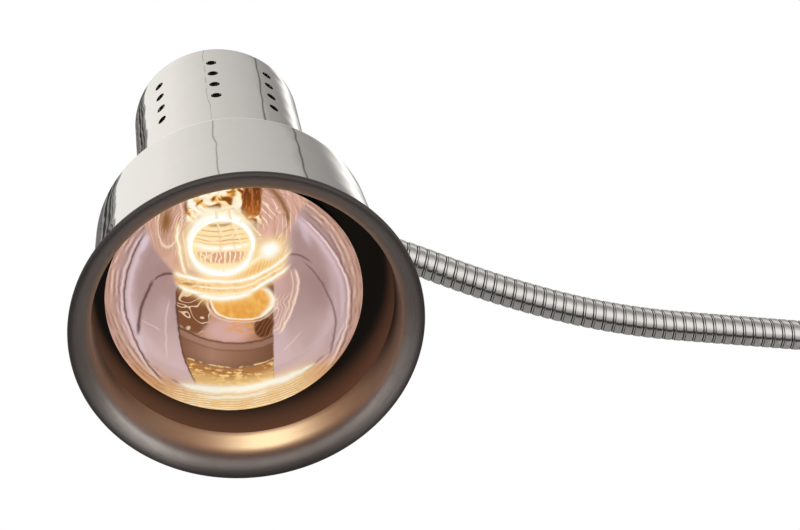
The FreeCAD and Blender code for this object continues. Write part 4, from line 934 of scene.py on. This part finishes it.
def gooseneck(name, first, last):
    """A helical strip from turn number first to turn number last."""
    samples = int((ARM_END + 2 * PLUG + 2 * PITCH) / SAMPLE) + 1
    table = untwisted([-PLUG - PITCH + SAMPLE * index for index in range(samples)])
    vertices = []
    rows = [(turn + share, radius, look) for turn in range(first, last)
            for share, radius, look in STRIP] + [(last, STRIP[0][1], 1)]
    for phase, radius, _ in rows:
        for column in range(COLUMNS + 1):
            angle = 2 * pi * column / COLUMNS
            distance = -PLUG + PITCH * (phase + column / COLUMNS)
            distance = min(max(distance, -PLUG), ARM_END + PLUG - STOP_SHORT)
            where = (distance + PLUG + PITCH) / SAMPLE
            low = int(where)
            centre, side, other = (before.lerp(after, where - low)
                                   for before, after in zip(table[low], table[low + 1]))
            spot = centre + side * (radius * cos(angle)) + other * (radius * sin(angle))
            vertices.append(spot * MM)
    indices = [look for _, _, look in rows[:-1] for _ in range(COLUMNS)]
    return made(name, vertices, quads(len(rows), COLUMNS + 1, wrap=False), ["strip", "groove"],
                indices, sharp=50)


# A joint lies where two arcs meet. One sleeve covers each, cut from the next about midway
# between the joints, at a whole turn of the strip.
joints_at = [start for start, *_ in ARM[1:-1]]
cuts = [0] + [round(((here + there) / 2 + PLUG) / PITCH)
              for here, there in zip(joints_at, joints_at[1:])]
cuts.append(ceil((ARM_END + 2 * PLUG) / PITCH) + 1)
for index, joint in enumerate(joints_at):
    before, after = SEGMENTS[index][0], SEGMENTS[index + 1][0]
    sleeve = gooseneck("gooseneck_" + NECKS[index], cuts[index], cuts[index + 1])
    start, end = (arm_point(joint + offset).translation * MM for offset in (-BEND_HALF, BEND_HALF))
    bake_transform(sleeve)
    replaced = ["neck_" + NECKS[index], "cable_" + NECKS[index]]
    if index == len(joints_at) - 1:
        replaced.append("neck_end")
    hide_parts(*replaced)


# Bulb --------------------
# The front's two arcs, its widest radius, the height of its middle, and the glass's thickness.
FACE_ARC, EDGE_ARC, BULB_RADIUS, APEX, WALL = 100, 16, 62.5, 12, 0.9
SHOULDER_ARC, SHOULDER_ANGLE, HOLLOW_ARC = 41.64, 65.7, 33.14
face_angle = degrees(asin((BULB_RADIUS - EDGE_ARC) / (FACE_ARC - EDGE_ARC)))
# Height of the widest ring.
belly = APEX + FACE_ARC - (FACE_ARC - EDGE_ARC) * cos(radians(face_angle))


def face_points(inset):
    """The bulb's front, from the middle to its widest ring, moved in by inset."""
    front = arc((0, APEX + FACE_ARC), FACE_ARC - inset, -90, -90 + face_angle, 24)
    edge = arc((BULB_RADIUS - EDGE_ARC, belly), EDGE_ARC - inset, -90 + face_angle, 0, 14)
    front[0] = (0.05, front[0][1])  # A lathed point can't lie on the axis.
    return front + edge[1:]


def reflector_points(inset):
    """The silvered wall: a full shoulder, then a hollow curve down on to the neck."""
    centre = (BULB_RADIUS - SHOULDER_ARC, belly)
    shoulder = arc(centre, SHOULDER_ARC - inset, 0, SHOULDER_ANGLE, 20)
    swing = radians(SHOULDER_ANGLE)
    hollow = (centre[0] + (SHOULDER_ARC + HOLLOW_ARC) * cos(swing),
              centre[1] + (SHOULDER_ARC + HOLLOW_ARC) * sin(swing))
    waist = arc(hollow, HOLLOW_ARC + inset, 180 + SHOULDER_ANGLE, 180, 14)
    return shoulder[1:] + waist[1:]


tail = [(18.5, 140.2), (11.6, 162)]
tail_in = [(radius - WALL, height) for radius, height in tail]
glass = lathe("bulb_front", BULB, face_points(0) + face_points(WALL)[::-1], ["face"],
              sharp=60)
inner = [(BULB_RADIUS - WALL, belly)] + reflector_points(WALL) + tail_in
outer = tail[::-1] + reflector_points(0)[::-1] + [(BULB_RADIUS, belly)]
mirror = lathe("bulb_reflector", BULB, inner + outer, ["glow", "mirror"],
               [0] * (len(inner) - 1) + [1] * len(outer), sharp=60)
for piece in (glass, mirror):
    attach(piece, "bulb")
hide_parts("bulb_glass")


def coil(name, ring_radius, coil_radius, wire, middle, gap, turns, look):
    """A coiled wire bent into an open ring; gap is in degrees."""
    sides, per_turn = 6, 10
    count, span, up = turns * per_turn, radians(360 - gap), Vector((0, 0, 1))
    vertices = []
    for index in range(count + 1):
        share = index / count
        swing, twist = radians(gap / 2) + span * share, 2 * pi * turns * share
        out = Vector((cos(swing), sin(swing), 0))
        normal = out * cos(twist) + up * sin(twist)
        centre = middle + out * ring_radius + normal * coil_radius
        ring_way = Vector((-sin(swing), cos(swing), 0)) * ring_radius * span
        coil_way = (up * cos(twist) - out * sin(twist)) * coil_radius * turns * 2 * pi
        other = (ring_way + coil_way).normalized().cross(normal)
        for side in range(sides):
            angle = 2 * pi * side / sides
            vertices.append(BULB @ (centre + (normal * cos(angle) + other * sin(angle)) * wire))
    return made(name, vertices, quads(count + 1, sides), [look])


# Its middle lies aside of the bulb's axis, as the photograph shows the glowing ring.
hot = coil("filament_coil", 15.9, 0.55, 0.16, Vector((-2.6, 1.2, 94)), 24, 96, "wire")
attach(hot, "bulb")
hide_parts("filament")


# Light and ground --------------------
def lamp(name, place, target, size, power):
    """A soft box that polished metal doesn't mirror."""
    data = bpy.data.lights.new(name, "AREA")
    data.shape = "RECTANGLE"
    data.size, data.size_y = size
    data.energy = power
    obj = linked(name, data)
    obj.location = place
    obj.rotation_euler = (Vector(target) - Vector(place)).to_track_quat("-Z", "Y").to_euler()
    obj.visible_glossy = False


lamp("key", (-1.6, -1.2, 1.5), (-0.45, 0, 0.3), (1.2, 1.2), 21)
lamp("fill", (1.1, -1.4, 0.9), (-0.35, 0, 0.3), (1, 1.4), 10.5)
lamp("top", (-0.3, 0.6, 1.9), (-0.35, 0, 0.25), (1.6, 1), 12.5)

studio = Shade("studio", world=True)
bpy.context.scene.world = studio.material
towards = studio.node("ShaderNodeTexCoord").outputs["Generated"]


def at_angle(angle):
    """An angle in degrees as a share of a full turn, with half at nought."""
    return 0.5 + angle / 360


def turned(first, second):
    """The angle of a direction from one axis towards another, as such a share."""
    return studio.dot(towards, second).do("ARCTAN2", studio.dot(towards, first)) \
        * (0.5 / pi) + 0.5


def by_angle(value, *stops):
    return studio.ramp(value, *((at_angle(angle), level) for angle, level in stops))


# Panels above and behind the lamp, by angle about the shade's axis; their edges lean a little.
# SHADE_TOP is square to that axis and points up on the side that the photograph shows.
SHADE_AXIS = Vector(HEAD_Z)
SHADE_TOP = Vector((-0.1944, -0.6863, 0.7007))
LEAN_FROM = 0.893
over = studio.dot(towards, SHADE_AXIS)
turn = turned(SHADE_TOP, SHADE_AXIS.cross(SHADE_TOP))
streak = studio.noise(studio.vector(turn), 32, 2, 0.5)
lean = over - LEAN_FROM
panels = by_angle(
    turn, (-176, 0.24), (-115.2, 0.34), (-113.8, 0.94), (-60, 0.92), (-5, 0.7), (40, 0.58),
    (66, 0.5), (76, 0.38), (108, 0.29), (126, 0.28), (150, 0.42), (160, 0.3))
panels = panels + (turn + lean * 0.83 - at_angle(137)).bell(0.035) * 0.95
panels = panels * (1 - (turn - lean * 0.97 - at_angle(64)).bell(0.0035) * 0.7)
hairline = (turn - lean * 0.25 - at_angle(-9)).bell(0.0022) * lean.step(0, 0.03)
panels = panels * (1 - hairline * 0.5)
streaks = (streak - 0.5).bell(0.03) * 0.9 + streak.step(0.5, 0.35) * 0.6
panels = panels * (1 - turn.step(at_angle(-114.1), at_angle(-116.1)) * streaks)
# Elsewhere by height: 0 level in front of the lamp, 90 overhead, -90 underneath.
around = by_angle(
    turned((0, -1, 0), (0, 0, 1)), (-180, 0.3), (-112, 0.33), (-73, 0.3),
    (-65, 0.02), (-54, 0.02), (-47, 0.32), (-30, 0.6), (-12, 1.05), (12, 1.05), (34, 0.62),
    (50, 0.36), (68, 0.38), (86, 0.92), (110, 1), (130, 0.5), (150, 0.22), (180, 0.3))
share = over.step(0.62, 0.74)
path = studio.node("ShaderNodeLightPath").outputs
shiny = studio.node("ShaderNodeBackground", in_0=(1, 0.985, 0.965),
                    in_1=panels * share + around * (1 - share))
soft, white = (studio.node("ShaderNodeBackground", in_0=(1, 1, 1), in_1=level)
               for level in (0.55, 1))
clear = studio.maths("MAXIMUM", path["Is Camera Ray"], path["Is Transmission Ray"])
studio.show(studio.either(clear, studio.either(path["Is Glossy Ray"], soft, shiny), white))

floor = made("ground", [(-6, -6, 0), (6, -6, 0), (6, 6, 0), (-6, 6, 0)], [(0, 1, 2, 3)], ["floor"])
floor.visible_glossy = False

bpy.context.scene.view_settings.view_transform = "Standard"
